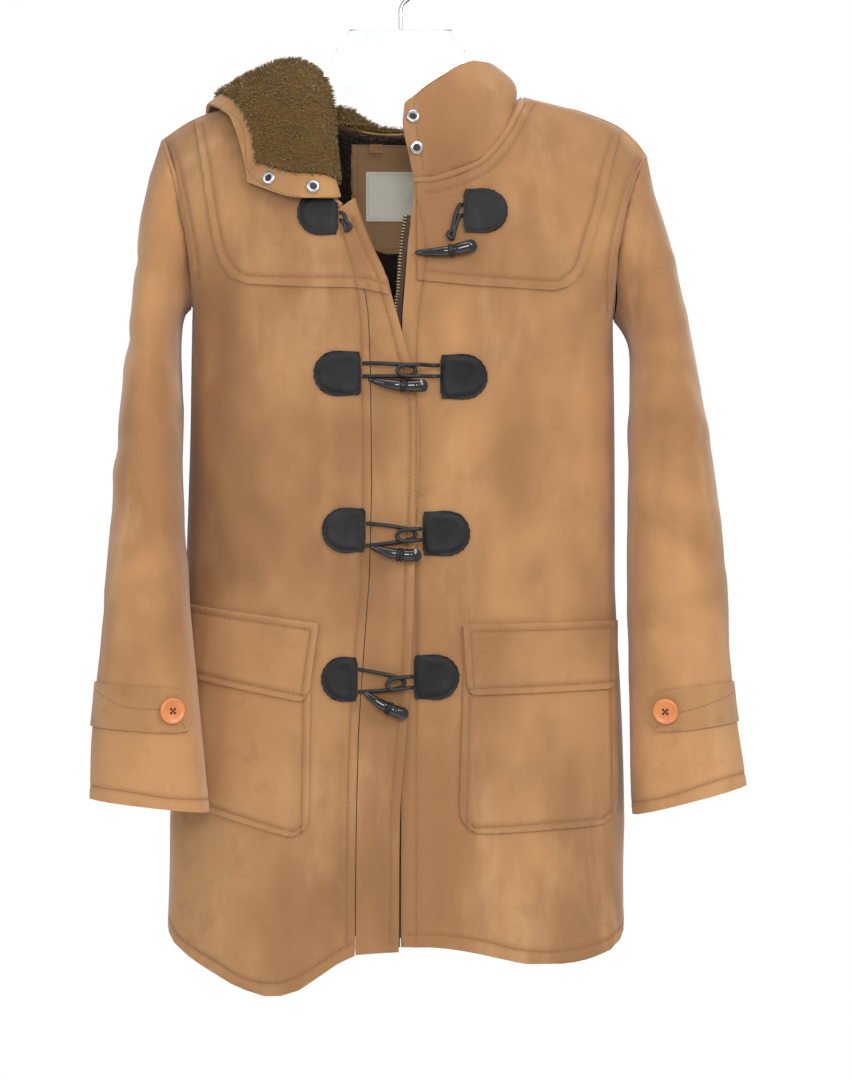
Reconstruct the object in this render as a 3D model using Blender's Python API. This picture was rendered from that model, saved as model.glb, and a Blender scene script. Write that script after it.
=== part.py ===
"""A suede duffle coat with a fur-lined hood, worn open at the neck, on a clear hanger.

Metres, +Z up; the coat's front faces -Y. The origin is the point inside the steel hook
where a rail bears. Sizes below are in millimetres: x to the viewer's right, z up.
Names end in _r for the wearer's right (at -x), whose front lies on top, and in _l for
the wearer's left (at +x). Every cloth piece is a wall on a surface worked out from the
coat's girth, its outline and a short table of folds.
"""
import math

import bmesh
import bpy
import numpy as np

MM = 0.001
CLOTH = 1.8           # suede bonded to its backing
FUR = 4.0             # fur pile, pressed
SEAM = 0.4            # half of the space left at a seam's cut edges
LAY = 0.35            # space under a piece that lies on a panel
SHOULDER_ROUND = 95.0     # height over which a shoulder turns from front to back
SECTION_POWER = 2.5       # fullness of the body's section
TRIM_WIDTH = 15.0         # suede band round the hood's opening

# The shoulder line seen from the front: x, z (neck to sleeve head, both sides).
SHOULDER = [(-225, -174), (-196, -155), (-165, -144), (-140, -139), (-110, -134), (-60, -124),
            (0, -120), (60, -124), (117, -134), (149, -142), (170, -147), (203, -160),
            (222, -176), (232, -190)]

# Side of the body from the sleeve head down: z, x at the wearer's right, x at the left.
SIDES = [(-174, -225, 232), (-190, -219, 232), (-210, -212, 221), (-240, -205, 211),
         (-284, -197, 202), (-316, -195, 200), (-345, -197, 200), (-450, -198, 202),
         (-600, -203, 202), (-700, -210, 208), (-790, -217, 211), (-850, -218, 211),
         (-885, -218, 208), (-930, -221, 212), (-1000, -222, 214)]

# Half depth of the body: z, in front of the shoulder plane, behind it.
DEPTHS = [(-120, 62, 60), (-165, 68, 72), (-230, 76, 80), (-330, 86, 90), (-450, 84, 90),
          (-600, 82, 90), (-750, 86, 96), (-880, 92, 104), (-980, 96, 108)]

# Armholes: highest and lowest z, half depth.
ARMHOLE_R = dict(top=-174.0, bottom=-333.0, half_depth=52.0)
ARMHOLE_L = dict(top=-190.0, bottom=-345.0, half_depth=52.0)

# Soft folds of the fronts and back: start x, z, end x, z, half width, height (+ out).
FRONT_FOLDS = [(-46, -830, -66, -925, 16, 7), (-64, -820, -92, -945, 18, -6),
               (-120, -790, -125, -960, 34, 9), (-28, -730, -34, -920, 14, -5),
               (22, -760, 30, -930, 20, -5), (100, -860, 112, -950, 40, 6),
               (170, -820, 178, -940, 22, -6), (-150, -350, -175, -470, 26, -5),
               (165, -345, 178, -480, 24, -5), (60, -430, 45, -600, 22, -3),
               (-120, -440, -100, -580, 30, 3), (20, -340, 60, -420, 18, -3)]
BACK_FOLDS = [(-90, -560, -104, -960, 44, 9), (96, -540, 110, -960, 46, 8),
              (0, -620, 4, -960, 30, -9), (-165, -420, -176, -900, 26, -6),
              (168, -400, 176, -900, 26, -6), (-150, -345, -120, -450, 24, -4),
              (150, -350, 125, -460, 24, -4)]

# Cut edges of the pieces seen from the front: x, z.
NECK_L = [(14, -222), (32, -221), (54, -214), (74, -205), (89, -190), (102, -170),
          (111, -151), (117, -134)]
NECK_R = [(-55, -246), (-72, -230), (-88, -205), (-100, -178), (-107, -154), (-110, -134)]
NECK_BACK = [(-110, -134), (-96, -146), (-70, -157), (-35, -163), (0, -165), (38, -163),
             (75, -157), (102, -146), (117, -134)]
ZIP_EDGE = [(14, -222), (11, -253), (7, -282), (4, -324), (2, -348), (2, -520), (1, -925)]
PLACKET_SEAM = [(-55, -246), (-45, -276), (-35, -309), (-29, -344), (-27, -400),
                (-26, -500), (-28, -584), (-32, -637), (-38, -725), (-40, -804), (-41, -932)]
PLACKET_EDGE = [(-41, -237), (-35, -258), (-26, -280), (-13, -307), (-7, -330), (-1, -350),
                (6, -378), (13, -400), (17, -430), (17, -495), (13, -584), (11, -654),
                (5, -740), (0, -804), (-1, -929)]
HEM_R = [(-41, -932), (-60, -942), (-80, -956), (-94, -965), (-115, -970), (-142, -967),
         (-172, -952), (-205, -934), (-221, -915)]
HEM_L = [(1, -925), (40, -926), (80, -932), (112, -940), (150, -943), (186, -938),
         (205, -928), (213, -915)]
HEM_BACK = [(-221, -915), (-180, -926), (-110, -936), (0, -940), (110, -934), (180, -924),
            (213, -915)]

# Yokes laid on the fronts: outer edge and lower edge.
YOKE_OUTER_R = [(-194, -155), (-184, -205), (-176, -257), (-169, -290), (-158, -309), (-140, -316)]
YOKE_OUTER_L = [(208, -165), (196, -206), (188, -240), (179, -272), (169, -306), (155, -318),
                (143, -322)]
YOKE_HEM_R = [(-10, -327), (-37, -320), (-90, -319), (-140, -316)]
YOKE_HEM_L = [(16, -313), (70, -318), (143, -322)]

# Patch pockets: top corners, bottom corners, corner radius; flaps lie over them.
POCKETS = {
    "r": dict(top=[(-204, -612), (-82, -634)], bottom=[(-192, -800), (-84, -829)], radius=20),
    "l": dict(top=[(60, -632), (202, -628)], bottom=[(54, -823), (204, -816)], radius=22),
}
FLAPS = {
    "r": dict(top=[(-204, -611), (-75, -629)], bottom=[(-198, -680), (-85, -702)], radius=10),
    "l": dict(top=[(58, -630), (204, -627)], bottom=[(62, -695), (203, -690)], radius=8),
}

# Sleeves, from the armhole to the cuff: z and x of the outer edge, then of the inner
# edge, half depth, and how far the middle lies behind the shoulder plane.
SLEEVE_R = [(-196, -236, -338, -201, 57, 0), (-236, -243, -347, -204, 65, -1),
            (-290, -248, -362, -206, 72, -3), (-348, -253, -388, -206, 75, -6),
            (-405, -259, -428, -204, 73, -16), (-477, -264, -487, -202, 68, -38),
            (-545, -268, -552, -198, 61, -60), (-610, -271, -616, -192, 55, -74),
            (-665, -276, -670, -187, 49, -82), (-715, -281, -722, -182, 44, -86),
            (-757, -283, -768, -177, 40, -88), (-788, -284, -801, -174, 38, -89)]
SLEEVE_L = [(-214, 240, -351, 206, 57, 0), (-258, 250, -362, 212, 65, -1),
            (-312, 262, -378, 215, 71, -3), (-368, 274, -404, 215, 73, -5),
            (-425, 284, -442, 214, 70, -8), (-485, 294, -493, 213, 66, -12),
            (-550, 301, -556, 212, 60, -17), (-612, 306, -616, 212, 54, -22),
            (-665, 308, -672, 213, 49, -26), (-712, 313, -724, 214, 44, -28),
            (-750, 318, -772, 214, 40, -30), (-780, 323, -808, 216, 38, -31)]
SLEEVE_SEAM = math.radians(14)     # hind seam, measured from the outer edge
SLEEVE_PART = 0.012                # half of the space left at a sleeve's seams, as an angle
# Sleeve tabs: middle and half height along the sleeve, the angles of the tip and button.
TABS = {
    "r": {"middle": 0.842, "half": 0.036, "to": 150.0, "button": 118.0},
    "l": {"middle": 0.842, "half": 0.036, "to": 134.0, "button": 108.0},
}
# Sleeve folds: fraction down the sleeve, angle from the front, spans of both, height.
SLEEVE_FOLDS = [(0.10, -0.5, 0.05, 0.7, -5), (0.19, 0.4, 0.05, 0.8, -5), (0.30, -0.3, 0.06, 0.9, 4),
                (0.40, 0.5, 0.05, 0.7, -4), (0.52, -0.5, 0.06, 0.8, -4), (0.63, 0.3, 0.06, 0.9, 3),
                (0.15, 2.9, 0.06, 0.8, -5), (0.33, 3.4, 0.06, 0.8, -4), (0.50, 2.7, 0.06, 0.8, -5),
                (0.66, 3.3, 0.06, 0.9, 4)]

# Hood, turned out flap: where it leaves the neck seam, then roll, middle and rim.
FLAP_R = [
    dict(seam=0.04, roll=(-60, -91, -238), middle=(-98, -93, -238), rim=(-139, -77, -222)),
    dict(seam=0.12, roll=(-52, -93, -214), middle=(-98, -95, -210), rim=(-143, -75, -192)),
    dict(seam=0.24, roll=(-58, -86, -182), middle=(-104, -82, -176), rim=(-147, -66, -172)),
    dict(seam=0.36, roll=(-62, -66, -144), middle=(-110, -70, -144), rim=(-158, -52, -156)),
    dict(seam=0.48, roll=(-68, -36, -106), middle=(-114, -40, -111), rim=(-176, -28, -141)),
    dict(seam=0.58, roll=(-94, -2, -109), middle=(-124, 2, -111), rim=(-187, 14, -143)),
]
# Standing flap of the other side, with its fold towards the shoulder.
FLAP_L = [
    dict(seam=0.00, roll=(8, -82, -196), middle=(3, -84, -170), rim=(4, -80, -150)),
    dict(seam=0.10, roll=(27, -86, -190), middle=(24, -86, -160), rim=(28, -74, -128)),
    dict(seam=0.20, roll=(50, -84, -180), middle=(49, -80, -145), rim=(56, -58, -104)),
    dict(seam=0.30, roll=(71, -76, -170), middle=(72, -66, -135), rim=(70, -44, -98)),
    dict(seam=0.40, roll=(86, -52, -160), middle=(90, -40, -125), rim=(84, -12, -106)),
    dict(seam=0.50, roll=(110, -28, -133), middle=(103, -22, -117), rim=(94, -14, -106)),
    dict(seam=0.58, roll=(115, 2, -125), middle=(111, 6, -117), rim=(104, 12, -109)),
]
# Bag of the hood behind the neck: roll, fall, bottom, rise and rim.
BAG_R = [
    dict(seam=0.70, roll=(-82, 26, -120), fall=(-126, 52, -130), rim=(-182, 72, -180)),
    dict(seam=0.82, roll=(-46, 54, -131), fall=(-76, 92, -172), bottom=(-106, 124, -262),
         rise=(-140, 136, -226), rim=(-150, 120, -190)),
    dict(seam=0.92, roll=(-16, 66, -134), fall=(-34, 98, -200), bottom=(-48, 130, -345),
         rise=(-62, 156, -270), rim=(-64, 150, -194)),
]
BAG_L = [
    dict(seam=0.64, roll=(103, 26, -129), fall=(102, 32, -120), rim=(102, 42, -114)),
    dict(seam=0.72, roll=(84, 46, -133), fall=(88, 58, -126), bottom=(94, 74, -134),
         rise=(102, 84, -140), rim=(110, 88, -140)),
    dict(seam=0.82, roll=(64, 56, -131), fall=(76, 92, -172), bottom=(98, 120, -256),
         rise=(126, 136, -226), rim=(132, 122, -188)),
    dict(seam=0.92, roll=(26, 66, -134), fall=(36, 98, -200), bottom=(46, 130, -345),
         rise=(60, 156, -270), rim=(62, 150, -194)),
]
BAG_MIDDLE = dict(seam=1.0, roll=(0.6, 70, -135), fall=(0.6, 99, -210), bottom=(0.6, 131, -368),
                  rise=(0.6, 158, -280), rim=(0.6, 154, -196))

# Fastenings, top to bottom: middle x, z of the leather patch on each front, its width;
# how high the patches lie; where each cord loop starts (z) and ends (x, z), half the space
# between its strands at the patch, its height; the toggle's tip and wide end, and how far
# its underside lies off the coat at both.
CLOSURES = [
    dict(r=(-76, -251), l=(79, -249), width_r=38, width_l=41, lay=2.6,
         from_r=-255, from_l=-249, loop_r=(-45, -264), loop_l=(44, -271), gap_r=3.5, gap_l=5,
         height_r=4.9, height_l=5.1, tip=(14, -288), end=(66, -282), rests=(2.8, 2.8)),
    dict(r=(-58, -399), l=(59, -402), width_r=44, width_l=44, lay=0.35,
         from_r=-396, from_l=-397, loop_r=(14, -397), loop_l=(-2, -397), gap_r=6, gap_l=5,
         height_r=4.6, height_l=9.25, tip=(-29, -405), end=(21, -411), rests=(6.0, 0.7)),
    dict(r=(-52, -543), l=(43, -546), width_r=40, width_l=44, lay=0.35,
         from_r=-547, from_l=-547, loop_r=(14, -547), loop_l=(-3, -548), gap_r=10, gap_l=5,
         height_r=4.6, height_l=9.25, tip=(-27, -558), end=(15, -566), rests=(7.0, 0.7)),
    dict(r=(-56, -680), l=(34, -678), width_r=34, width_l=42, lay=0.35,
         from_r=-681, from_l=-682, loop_r=(4, -683), loop_l=(-12, -684), gap_r=10, gap_l=5,
         height_r=4.6, height_l=9.25, tip=(-33, -691), end=(3, -711), rests=(7.0, 0.7)),
]
PLACKET_STAND_Z = (-932, -760, -640, -400, -300, -237)    # hem to neck
PLACKET_STAND = (4.5, 5, 9, 9, 6, 4.5)    # how far its free edge stands off there
FRONT_COLUMNS_R = (0, 0.05, 0.1, 0.16, 0.24, 0.33, 0.41, 0.48, 0.54, 0.65, 0.76, 0.86, 0.94, 0.98, 1)
NECK_SWAY = 12.0          # how far the grid leans off the neck's end at the shoulder
NECK_SPAN = 0.1           # share of the front over which it does so
ZIP_WIDTH = 7.5
PATCH_HEIGHT = 42.0
PATCH_THICK = 2.0
CORD_RADIUS = 1.9
LOOP_START = 1.2          # from a patch's straight edge to the ends of its loop
LOOP_FALL = 16.0          # stretch over which a loop comes down beside the placket
TOGGLE_RADII = (2.0, 3.6, 4.8, 5.6, 6.0)    # tip to wide end
BUTTON_PROFILE = [(0, 0), (11, 0), (12, 1.2), (12, 2.6), (10.5, 3.8), (8.5, 3.4), (0, 2.8)]
SNAP_PROFILE = [(0, 0), (5.5, 0), (6.25, 0.8), (5.6, 2.0), (3.4, 2.4), (2.6, 1.4), (0, 1.4)]
SNAPS = (4, 8)            # grid column of each on the hood's front edge

# Inside the back neck.
FACING = dict(middle=-10, half_width=38, top=-171, straight=-232, drop=44)
LABEL_CORNERS = (-34, -197, 15, -244)
LOOP_CORNERS = (-30, -172, -18, -180)

NECK_TURN = 0.58          # share of the neck seam in front of the shoulder
HOOD_RISE = 2.4           # space between the neck seam and the hood's cut edge
HOOD_PART = 0.6           # half of the space between the hood's halves
FUR_PART = 1.0            # space between the hood's trim and its fur, and under the fur
HOOD_COLUMNS = ("roll", "middle", "fall", "bottom", "rise", "rim")
HOOD_COLUMN_COUNT = 10

HANGER_THICK = 8.0
HANGER_DROP = 1.5         # space under the shoulder seams
HANGER_REACH = 196.0
HANGER_NECK = 124.0       # half the stretch that is clear of the shoulders
HANGER_TOP = [(0, -70), (48, -70), (60, -88), (80, -122), (98, -145), (112, -147), (124, -142)]
HANGER_HEIGHT = [(0, 64), (48, 62), (60, 54), (80, 38), (98, 30), (150, 25), (196, 14)]
HOOK_WIRE = 2.0           # radius
HOOK_BEND = 18.0          # inner radius, where the rail bears

SUEDE = (0.434, 0.231, 0.098)
TRIM = (0.479, 0.262, 0.102)
OLIVE = (0.150, 0.102, 0.022)
BROWN = (0.030, 0.014, 0.007)
LEATHER = (0.012, 0.013, 0.014)
HORN = (0.006, 0.006, 0.007)
CORD_COLOUR = (0.010, 0.010, 0.011)
BUTTON = (0.740, 0.275, 0.095)
STEEL = (0.55, 0.55, 0.55)
FACING_COLOUR = (0.300, 0.170, 0.080)
LABEL = (0.840, 0.790, 0.620)
CLEAR = (0.86, 0.88, 0.90)
ZIP = (0.050, 0.032, 0.020)


def clear_scene():
    """Remove what the file holds."""
    for item in list(bpy.data.objects):
        bpy.data.objects.remove(item, do_unlink=True)


def finish(name, colour, roughness, metallic=0.0, alpha=1.0):
    """A plain Principled material in the piece's colour."""
    material = bpy.data.materials.new(name)
    material.use_nodes = True
    shader = material.node_tree.nodes["Principled BSDF"]
    shader.inputs["Base Color"].default_value = (*colour, 1.0)
    shader.inputs["Roughness"].default_value = roughness
    shader.inputs["Metallic"].default_value = metallic
    shader.inputs["Alpha"].default_value = alpha
    return material


def add_object(name, points, faces, material):
    """One closed body from points in millimetres, with its faces turned outwards."""
    mesh = bpy.data.meshes.new(name)
    mesh.from_pydata([tuple(float(c) * MM for c in p) for p in points], [], faces)
    shape = bmesh.new()
    shape.from_mesh(mesh)
    bmesh.ops.recalc_face_normals(shape, faces=shape.faces)
    if shape.calc_volume(signed=True) < 0:
        bmesh.ops.reverse_faces(shape, faces=shape.faces)
    shape.to_mesh(mesh)
    shape.free()
    mesh.materials.append(material)
    mesh.shade_smooth()
    mesh.set_sharp_from_angle(angle=math.radians(40))
    item = bpy.data.objects.new(name, mesh)
    bpy.context.scene.collection.objects.link(item)
    return item


def value(table, at, column):
    """A column of a table whose first column falls, read at a height."""
    rows = np.array(table, float)
    order = np.argsort(rows[:, 0])
    return np.interp(at, rows[order, 0], rows[order, column])


def through(points, fractions, smooth=True):
    """Points at fractions of the length of a curve drawn through a few points."""
    knots = np.array(points, float)
    if smooth and len(knots) > 2:
        before = 2 * knots[0] - knots[1]
        after = 2 * knots[-1] - knots[-2]
        ring = np.vstack([before, knots, after])
        dense = []
        for i in range(1, len(ring) - 2):
            for t in np.linspace(0, 1, 12, endpoint=False):
                a, b, c, d = ring[i - 1:i + 3]
                dense.append(0.5 * (2 * b + (c - a) * t + (2 * a - 5 * b + 4 * c - d) * t ** 2
                                    + (3 * b - a - 3 * c + d) * t ** 3))
        dense.append(knots[-1])
        knots = np.array(dense)
    steps = np.linalg.norm(np.diff(knots, axis=0), axis=1)
    length = np.concatenate([[0], np.cumsum(steps)])
    length /= length[-1]
    return np.stack([np.interp(fractions, length, knots[:, k]) for k in range(knots.shape[1])], -1)


def rounded(t):
    """A quarter circle's rise from 0 to 1."""
    t = np.clip(t, 0, 1)
    return np.sqrt(1 - (1 - t) ** 2)


def armhole_depth(z, armhole):
    """Half depth of an armhole at a height."""
    middle = (armhole["top"] + armhole["bottom"]) / 2
    half = (armhole["top"] - armhole["bottom"]) / 2
    return armhole["half_depth"] * np.sqrt(np.clip(1 - ((z - middle) / half) ** 2, 0, 1))


def fold_height(x, z, folds):
    """How far the folds raise the cloth: soft ridges and troughs along short lines."""
    total = np.zeros_like(x)
    for x0, z0, x1, z1, half_width, height in folds:
        line = np.array([x1 - x0, z1 - z0], float)
        along = ((x - x0) * line[0] + (z - z0) * line[1]) / line.dot(line)
        near = np.clip(along, 0, 1)
        away = np.hypot(x - x0 - near * line[0], z - z0 - near * line[1])
        ends = np.clip(np.minimum(along + 0.35, 1.35 - along) / 0.35, 0, 1)
        total += height * np.exp(-(away / half_width) ** 2) * ends
    return total


def body_depth(x, z, side):
    """Half depth of the coat at x, z: side 1 is the front, 2 the back."""
    left = value(SIDES, z, 1)
    right = value(SIDES, z, 2)
    middle = (left + right) / 2
    across = np.clip(np.abs(x - middle) / ((right - left) / 2), 0, 1)
    arm = np.where(x < middle, armhole_depth(z, ARMHOLE_R), armhole_depth(z, ARMHOLE_L))
    full = value(DEPTHS, z, side)
    bulge = (1 - across ** SECTION_POWER) ** (1 / SECTION_POWER)
    line = np.interp(x, [p[0] for p in SHOULDER], [p[1] for p in SHOULDER])
    folds = fold_height(x, z, FRONT_FOLDS if side == 1 else BACK_FOLDS)
    return (arm + (full - arm + folds) * bulge) * rounded((line - z) / SHOULDER_ROUND)


def front_y(x, z):
    """The fronts' outer surface."""
    return -body_depth(x, z, 1) - SEAM


def back_y(x, z):
    """The back's outer surface."""
    return body_depth(x, z, 2) + SEAM


def patch(top, bottom, inner, outer, across, down):
    """Fill four edges, seen from the front, with a grid of x, z."""
    s = np.asarray(across)[None, :, None]
    t = np.asarray(down)[:, None, None]
    top = top[None, :, :]
    bottom = bottom[None, :, :]
    inner = inner[:, None, :]
    outer = outer[:, None, :]
    corners = ((1 - s) * (1 - t) * top[:, :1] + s * (1 - t) * top[:, -1:]
               + (1 - s) * t * bottom[:, :1] + s * t * bottom[:, -1:])
    return (1 - t) * top + t * bottom + (1 - s) * inner + s * outer - corners


def surface_normals(x, z, surface):
    """Unit normals of a surface y(x, z) that face away from the wearer."""
    step = 0.3
    slope_x = (surface(x + step, z) - surface(x - step, z)) / (2 * step)
    slope_z = (surface(x, z + step) - surface(x, z - step)) / (2 * step)
    facing = np.stack([slope_x, -np.ones_like(x), slope_z], -1)
    facing /= np.linalg.norm(facing, axis=-1, keepdims=True)
    return facing


def wall_mesh(face, back, keep=None):
    """Points and triangles of a wall between two grids, of all cells or of those kept."""
    rows, columns = face.shape[:2]
    if keep is None:
        keep = np.ones((rows - 1, columns - 1), bool)
    points = list(face.reshape(-1, 3)) + list(back.reshape(-1, 3))
    size = rows * columns
    faces, rim = [], {}
    for i, j in zip(*np.nonzero(keep)):
        a, b = i * columns + j, i * columns + j + 1
        c, d = b + columns, a + columns
        faces += [(a, b, c), (a, c, d)]
        faces += [(c + size, b + size, a + size), (d + size, c + size, a + size)]
        for edge in ((a, b), (b, c), (c, d), (d, a)):
            if rim.pop(edge[::-1], None) is None:
                rim[edge] = True
    faces += [(b, a, a + size, b + size) for a, b in rim]
    used = sorted({k for face in faces for k in face})
    place = {k: n for n, k in enumerate(used)}
    return [points[k] for k in used], [tuple(place[k] for k in face) for face in faces]


def sheet_on(grid, surface, front=True):
    """A panel's points on its surface, with their normals away from the wearer."""
    x, z = grid[..., 0], grid[..., 1]
    points = np.stack([x, surface(x, z), z], -1)
    normal = surface_normals(x, z, surface) * (1 if front else -1)
    return {"points": points, "normals": normal, "front": front}


def between(sheet, low, high):
    """Points and triangles of a wall over a whole panel, between two heights."""
    faces = []
    for height in (high, low):
        face = sheet["points"] + sheet["normals"] * height
        if sheet["front"]:
            face[..., 1] = np.minimum(face[..., 1], -SEAM)
        else:
            face[..., 1] = np.maximum(face[..., 1], SEAM)
        faces.append(face)
    return wall_mesh(*faces)


def cut_to(item, outline, inside=True):
    """Keep what lies inside an outline seen from the front, or what lies outside it."""
    count = len(outline)
    points = [(x, y, z) for y in (-300, 300) for x, z in outline]
    faces = [tuple(range(count)), tuple(range(2 * count - 1, count - 1, -1))]
    faces += [(k, (k + 1) % count, (k + 1) % count + count, k + count) for k in range(count)]
    cutter = add_object("cutter", points, faces, item.data.materials[0])
    modifier = item.modifiers.new("outline", "BOOLEAN")
    modifier.operation = "INTERSECT" if inside else "DIFFERENCE"
    modifier.object = cutter
    depsgraph = bpy.context.evaluated_depsgraph_get()
    mesh = bpy.data.meshes.new_from_object(item.evaluated_get(depsgraph))
    item.modifiers.clear()
    old = item.data
    item.data = mesh
    bpy.data.meshes.remove(old)
    mesh.name = item.name
    bpy.data.objects.remove(cutter, do_unlink=True)
    return item


def laid(name, sheet, outline, low, high, material):
    """A piece of a given outline, made from a panel's points moved out."""
    return cut_to(add_object(name, *between(sheet, low, high), material), outline)


def crowded(count):
    """Fractions from 0 to 1 that crowd towards the end."""
    return np.sin(np.linspace(0, 1, count + 1) * math.pi / 2)


def snapped(fractions, corner):
    """Move the nearest fraction onto a corner of an edge."""
    fractions = np.array(fractions)
    inside = fractions[1:-1]
    inside[np.argmin(np.abs(inside - corner))] = corner
    return fractions


def corner_fraction(first, second):
    """Where the corner between two joined edges falls along both."""
    a = np.linalg.norm(np.diff(np.array(first, float), axis=0), axis=1).sum()
    b = np.linalg.norm(np.diff(np.array(second, float), axis=0), axis=1).sum()
    return a / (a + b)


def side_edge(column, top, bottom):
    """The armhole and side seam, from the sleeve head to the hem."""
    heights = [row[0] for row in SIDES if bottom < row[0] < top]
    return [(float(value(SIDES, z, column)), z) for z in [top, *heights, bottom]]


def shoulder_edge(start, end):
    """The shoulder line between two x."""
    xs = [p[0] for p in SHOULDER]
    zs = [p[1] for p in SHOULDER]
    inside = [p for p in SHOULDER if min(start, end) < p[0] < max(start, end)]
    if end < start:
        inside = inside[::-1]
    return [(start, float(np.interp(start, xs, zs))), *inside, (end, float(np.interp(end, xs, zs)))]


def front_sheet(side):
    """A front, from its closure edge out to the armhole and side seam."""
    right = side == "r"
    neck, hem = ([PLACKET_EDGE[0]] + NECK_R, [PLACKET_EDGE[-1]] + HEM_R) if right else (NECK_L, HEM_L)
    inner = PLACKET_EDGE if right else ZIP_EDGE
    shoulder = shoulder_edge(neck[-1][0], SHOULDER[0 if right else -1][0])
    outer = side_edge(1 if right else 2, shoulder[-1][1], hem[-1][1])
    across = FRONT_COLUMNS_R if right else crowded(10)
    corner = corner_fraction(neck, shoulder)
    across = snapped(across, corner)
    down = np.linspace(0, 1, 23) ** 1.5
    top = through(neck + shoulder[1:], across, smooth=False)
    grid = patch(top, through(hem, across), through(inner, down), through(outer, down),
                 across, down)
    sway = NECK_SWAY * np.exp(-((across - corner) / NECK_SPAN) ** 2)
    lean = np.clip(down / 0.02, 0, 1) * (1 - down) ** 4
    grid[..., 0] += (-1 if right else 1) * np.outer(lean, sway)
    return sheet_on(grid, overlap_y if right else front_y)


def back_sheet():
    """The back, from shoulder to shoulder and down to the hem."""
    right = shoulder_edge(SHOULDER[0][0], NECK_BACK[0][0])
    left = shoulder_edge(NECK_BACK[-1][0], SHOULDER[-1][0])
    across = (np.sin(np.linspace(-1, 1, 19) * math.pi / 2) + 1) / 2
    down = np.linspace(0, 1, 22) ** 1.5
    top = through(right + NECK_BACK[1:-1] + left, across, smooth=False)
    side_r = through(side_edge(1, SHOULDER[0][1], HEM_BACK[0][1]), down)
    side_l = through(side_edge(2, SHOULDER[-1][1], HEM_BACK[-1][1]), down)
    grid = patch(top, through(HEM_BACK, across), side_r, side_l, across, down)
    return sheet_on(grid, back_y, front=False)


def placket_cover(x, z):
    """How far across the placket a point lies: 0 at its seam, 1 at its free edge."""
    seam = np.array(PLACKET_SEAM, float)[::-1]
    edge = np.array(PLACKET_EDGE, float)[::-1]
    left = np.interp(z, seam[:, 1], seam[:, 0])
    right = np.interp(z, edge[:, 1], edge[:, 0])
    return np.clip((x - left) / (right - left), 0, 1)


def overlap_y(x, z):
    """The right front's outer surface, raised where the placket laps over the left."""
    stand = np.interp(z, PLACKET_STAND_Z, PLACKET_STAND)
    return front_y(x, z) - stand * rounded(placket_cover(x, z) * 1.3)


def placket_outline(part):
    """The placket's outline, run past its free edges, with space left at its seam."""
    seam = [(x + part, z) for x, z in PLACKET_SEAM]
    top = [(seam[0][0] - 6, seam[0][1] + 14), (PLACKET_EDGE[0][0] + 12, PLACKET_EDGE[0][1] + 14)]
    free = [(x + 12, z) for x, z in PLACKET_EDGE[1:-1]]
    low = [(PLACKET_EDGE[-1][0] + 12, -960), (seam[-1][0], -960)]
    return top + free + low + seam[::-1]


def build_body(mats, sheets):
    """Back, fronts and placket."""
    suede = mats["suede"]
    add_object("back", *between(sheets["back"], -CLOTH, 0), suede)
    add_object("front_l", *between(sheets["l"], -CLOTH, 0), suede)
    front = add_object("front_r", *between(sheets["r"], -CLOTH, 0), suede)
    cut_to(front, placket_outline(-SEAM), inside=False)
    laid("placket", sheets["r"], placket_outline(SEAM), -CLOTH, 0, suede)
    edge = [p for p in ZIP_EDGE if p[1] < -230]
    down = np.linspace(0, 1, 23)
    inner = through([(x - ZIP_WIDTH, z) for x, z in edge], down)
    outer = through([(x - 0.9, z) for x, z in edge], down)
    across = np.array([0.0, 1.0])
    grid = patch(np.array([inner[0], outer[0]]), np.array([inner[-1], outer[-1]]), inner, outer,
                 across, down)
    add_object("zip", *between(sheet_on(grid, front_y), -1.9, -0.3), mats["zip"])


def build_yokes(mats, sheets):
    """Yokes laid on the fronts, from the neck seam and shoulder down to a rounded corner."""
    inset = 1.5
    outline = [(x - inset, z - inset) for x, z in NECK_R]
    outline += [(x, z - inset) for x, z in shoulder_edge(NECK_R[-1][0], YOKE_OUTER_R[0][0])[1:]]
    outline += YOKE_OUTER_R[1:] + YOKE_HEM_R[::-1][1:]
    outline += [(x - inset, z) for x, z in PLACKET_EDGE[::-1] if z > YOKE_HEM_R[0][1]]
    laid("yoke_r", sheets["r"], outline, LAY, LAY + CLOTH, mats["suede"])
    outline = [(x + inset, z - inset) for x, z in NECK_L]
    outline += [(x, z - inset) for x, z in shoulder_edge(NECK_L[-1][0], YOKE_OUTER_L[0][0])[1:]]
    outline += YOKE_OUTER_L[1:] + YOKE_HEM_L[::-1][1:]
    laid("yoke_l", sheets["l"], outline, LAY, LAY + CLOTH, mats["suede"])


def rounded_outline(top, bottom, radius):
    """A pocket or flap seen from the front, square above and rounded below."""
    (a, b), (c, d) = [np.array(p, float) for p in top], [np.array(p, float) for p in bottom]
    points = [a]
    for corner, arrive, leave in ((c, a, d), (d, c, b)):
        towards = (arrive - corner) / np.linalg.norm(arrive - corner)
        away = (leave - corner) / np.linalg.norm(leave - corner)
        for k in range(5):
            turn = math.pi / 2 * k / 4
            points.append(corner + radius * ((1 - math.sin(turn)) * towards
                                             + (1 - math.cos(turn)) * away))
    return points + [b]


def build_pockets(mats, sheets):
    """Patch pockets and the flaps over them."""
    over = 2 * LAY + CLOTH
    for side in "rl":
        sheet = sheets[side]
        laid(f"pocket_{side}", sheet, rounded_outline(**POCKETS[side]), LAY, LAY + CLOTH,
             mats["suede"])
        laid(f"pocket_flap_{side}", sheet, rounded_outline(**FLAPS[side]), over, over + CLOTH,
             mats["suede"])


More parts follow.
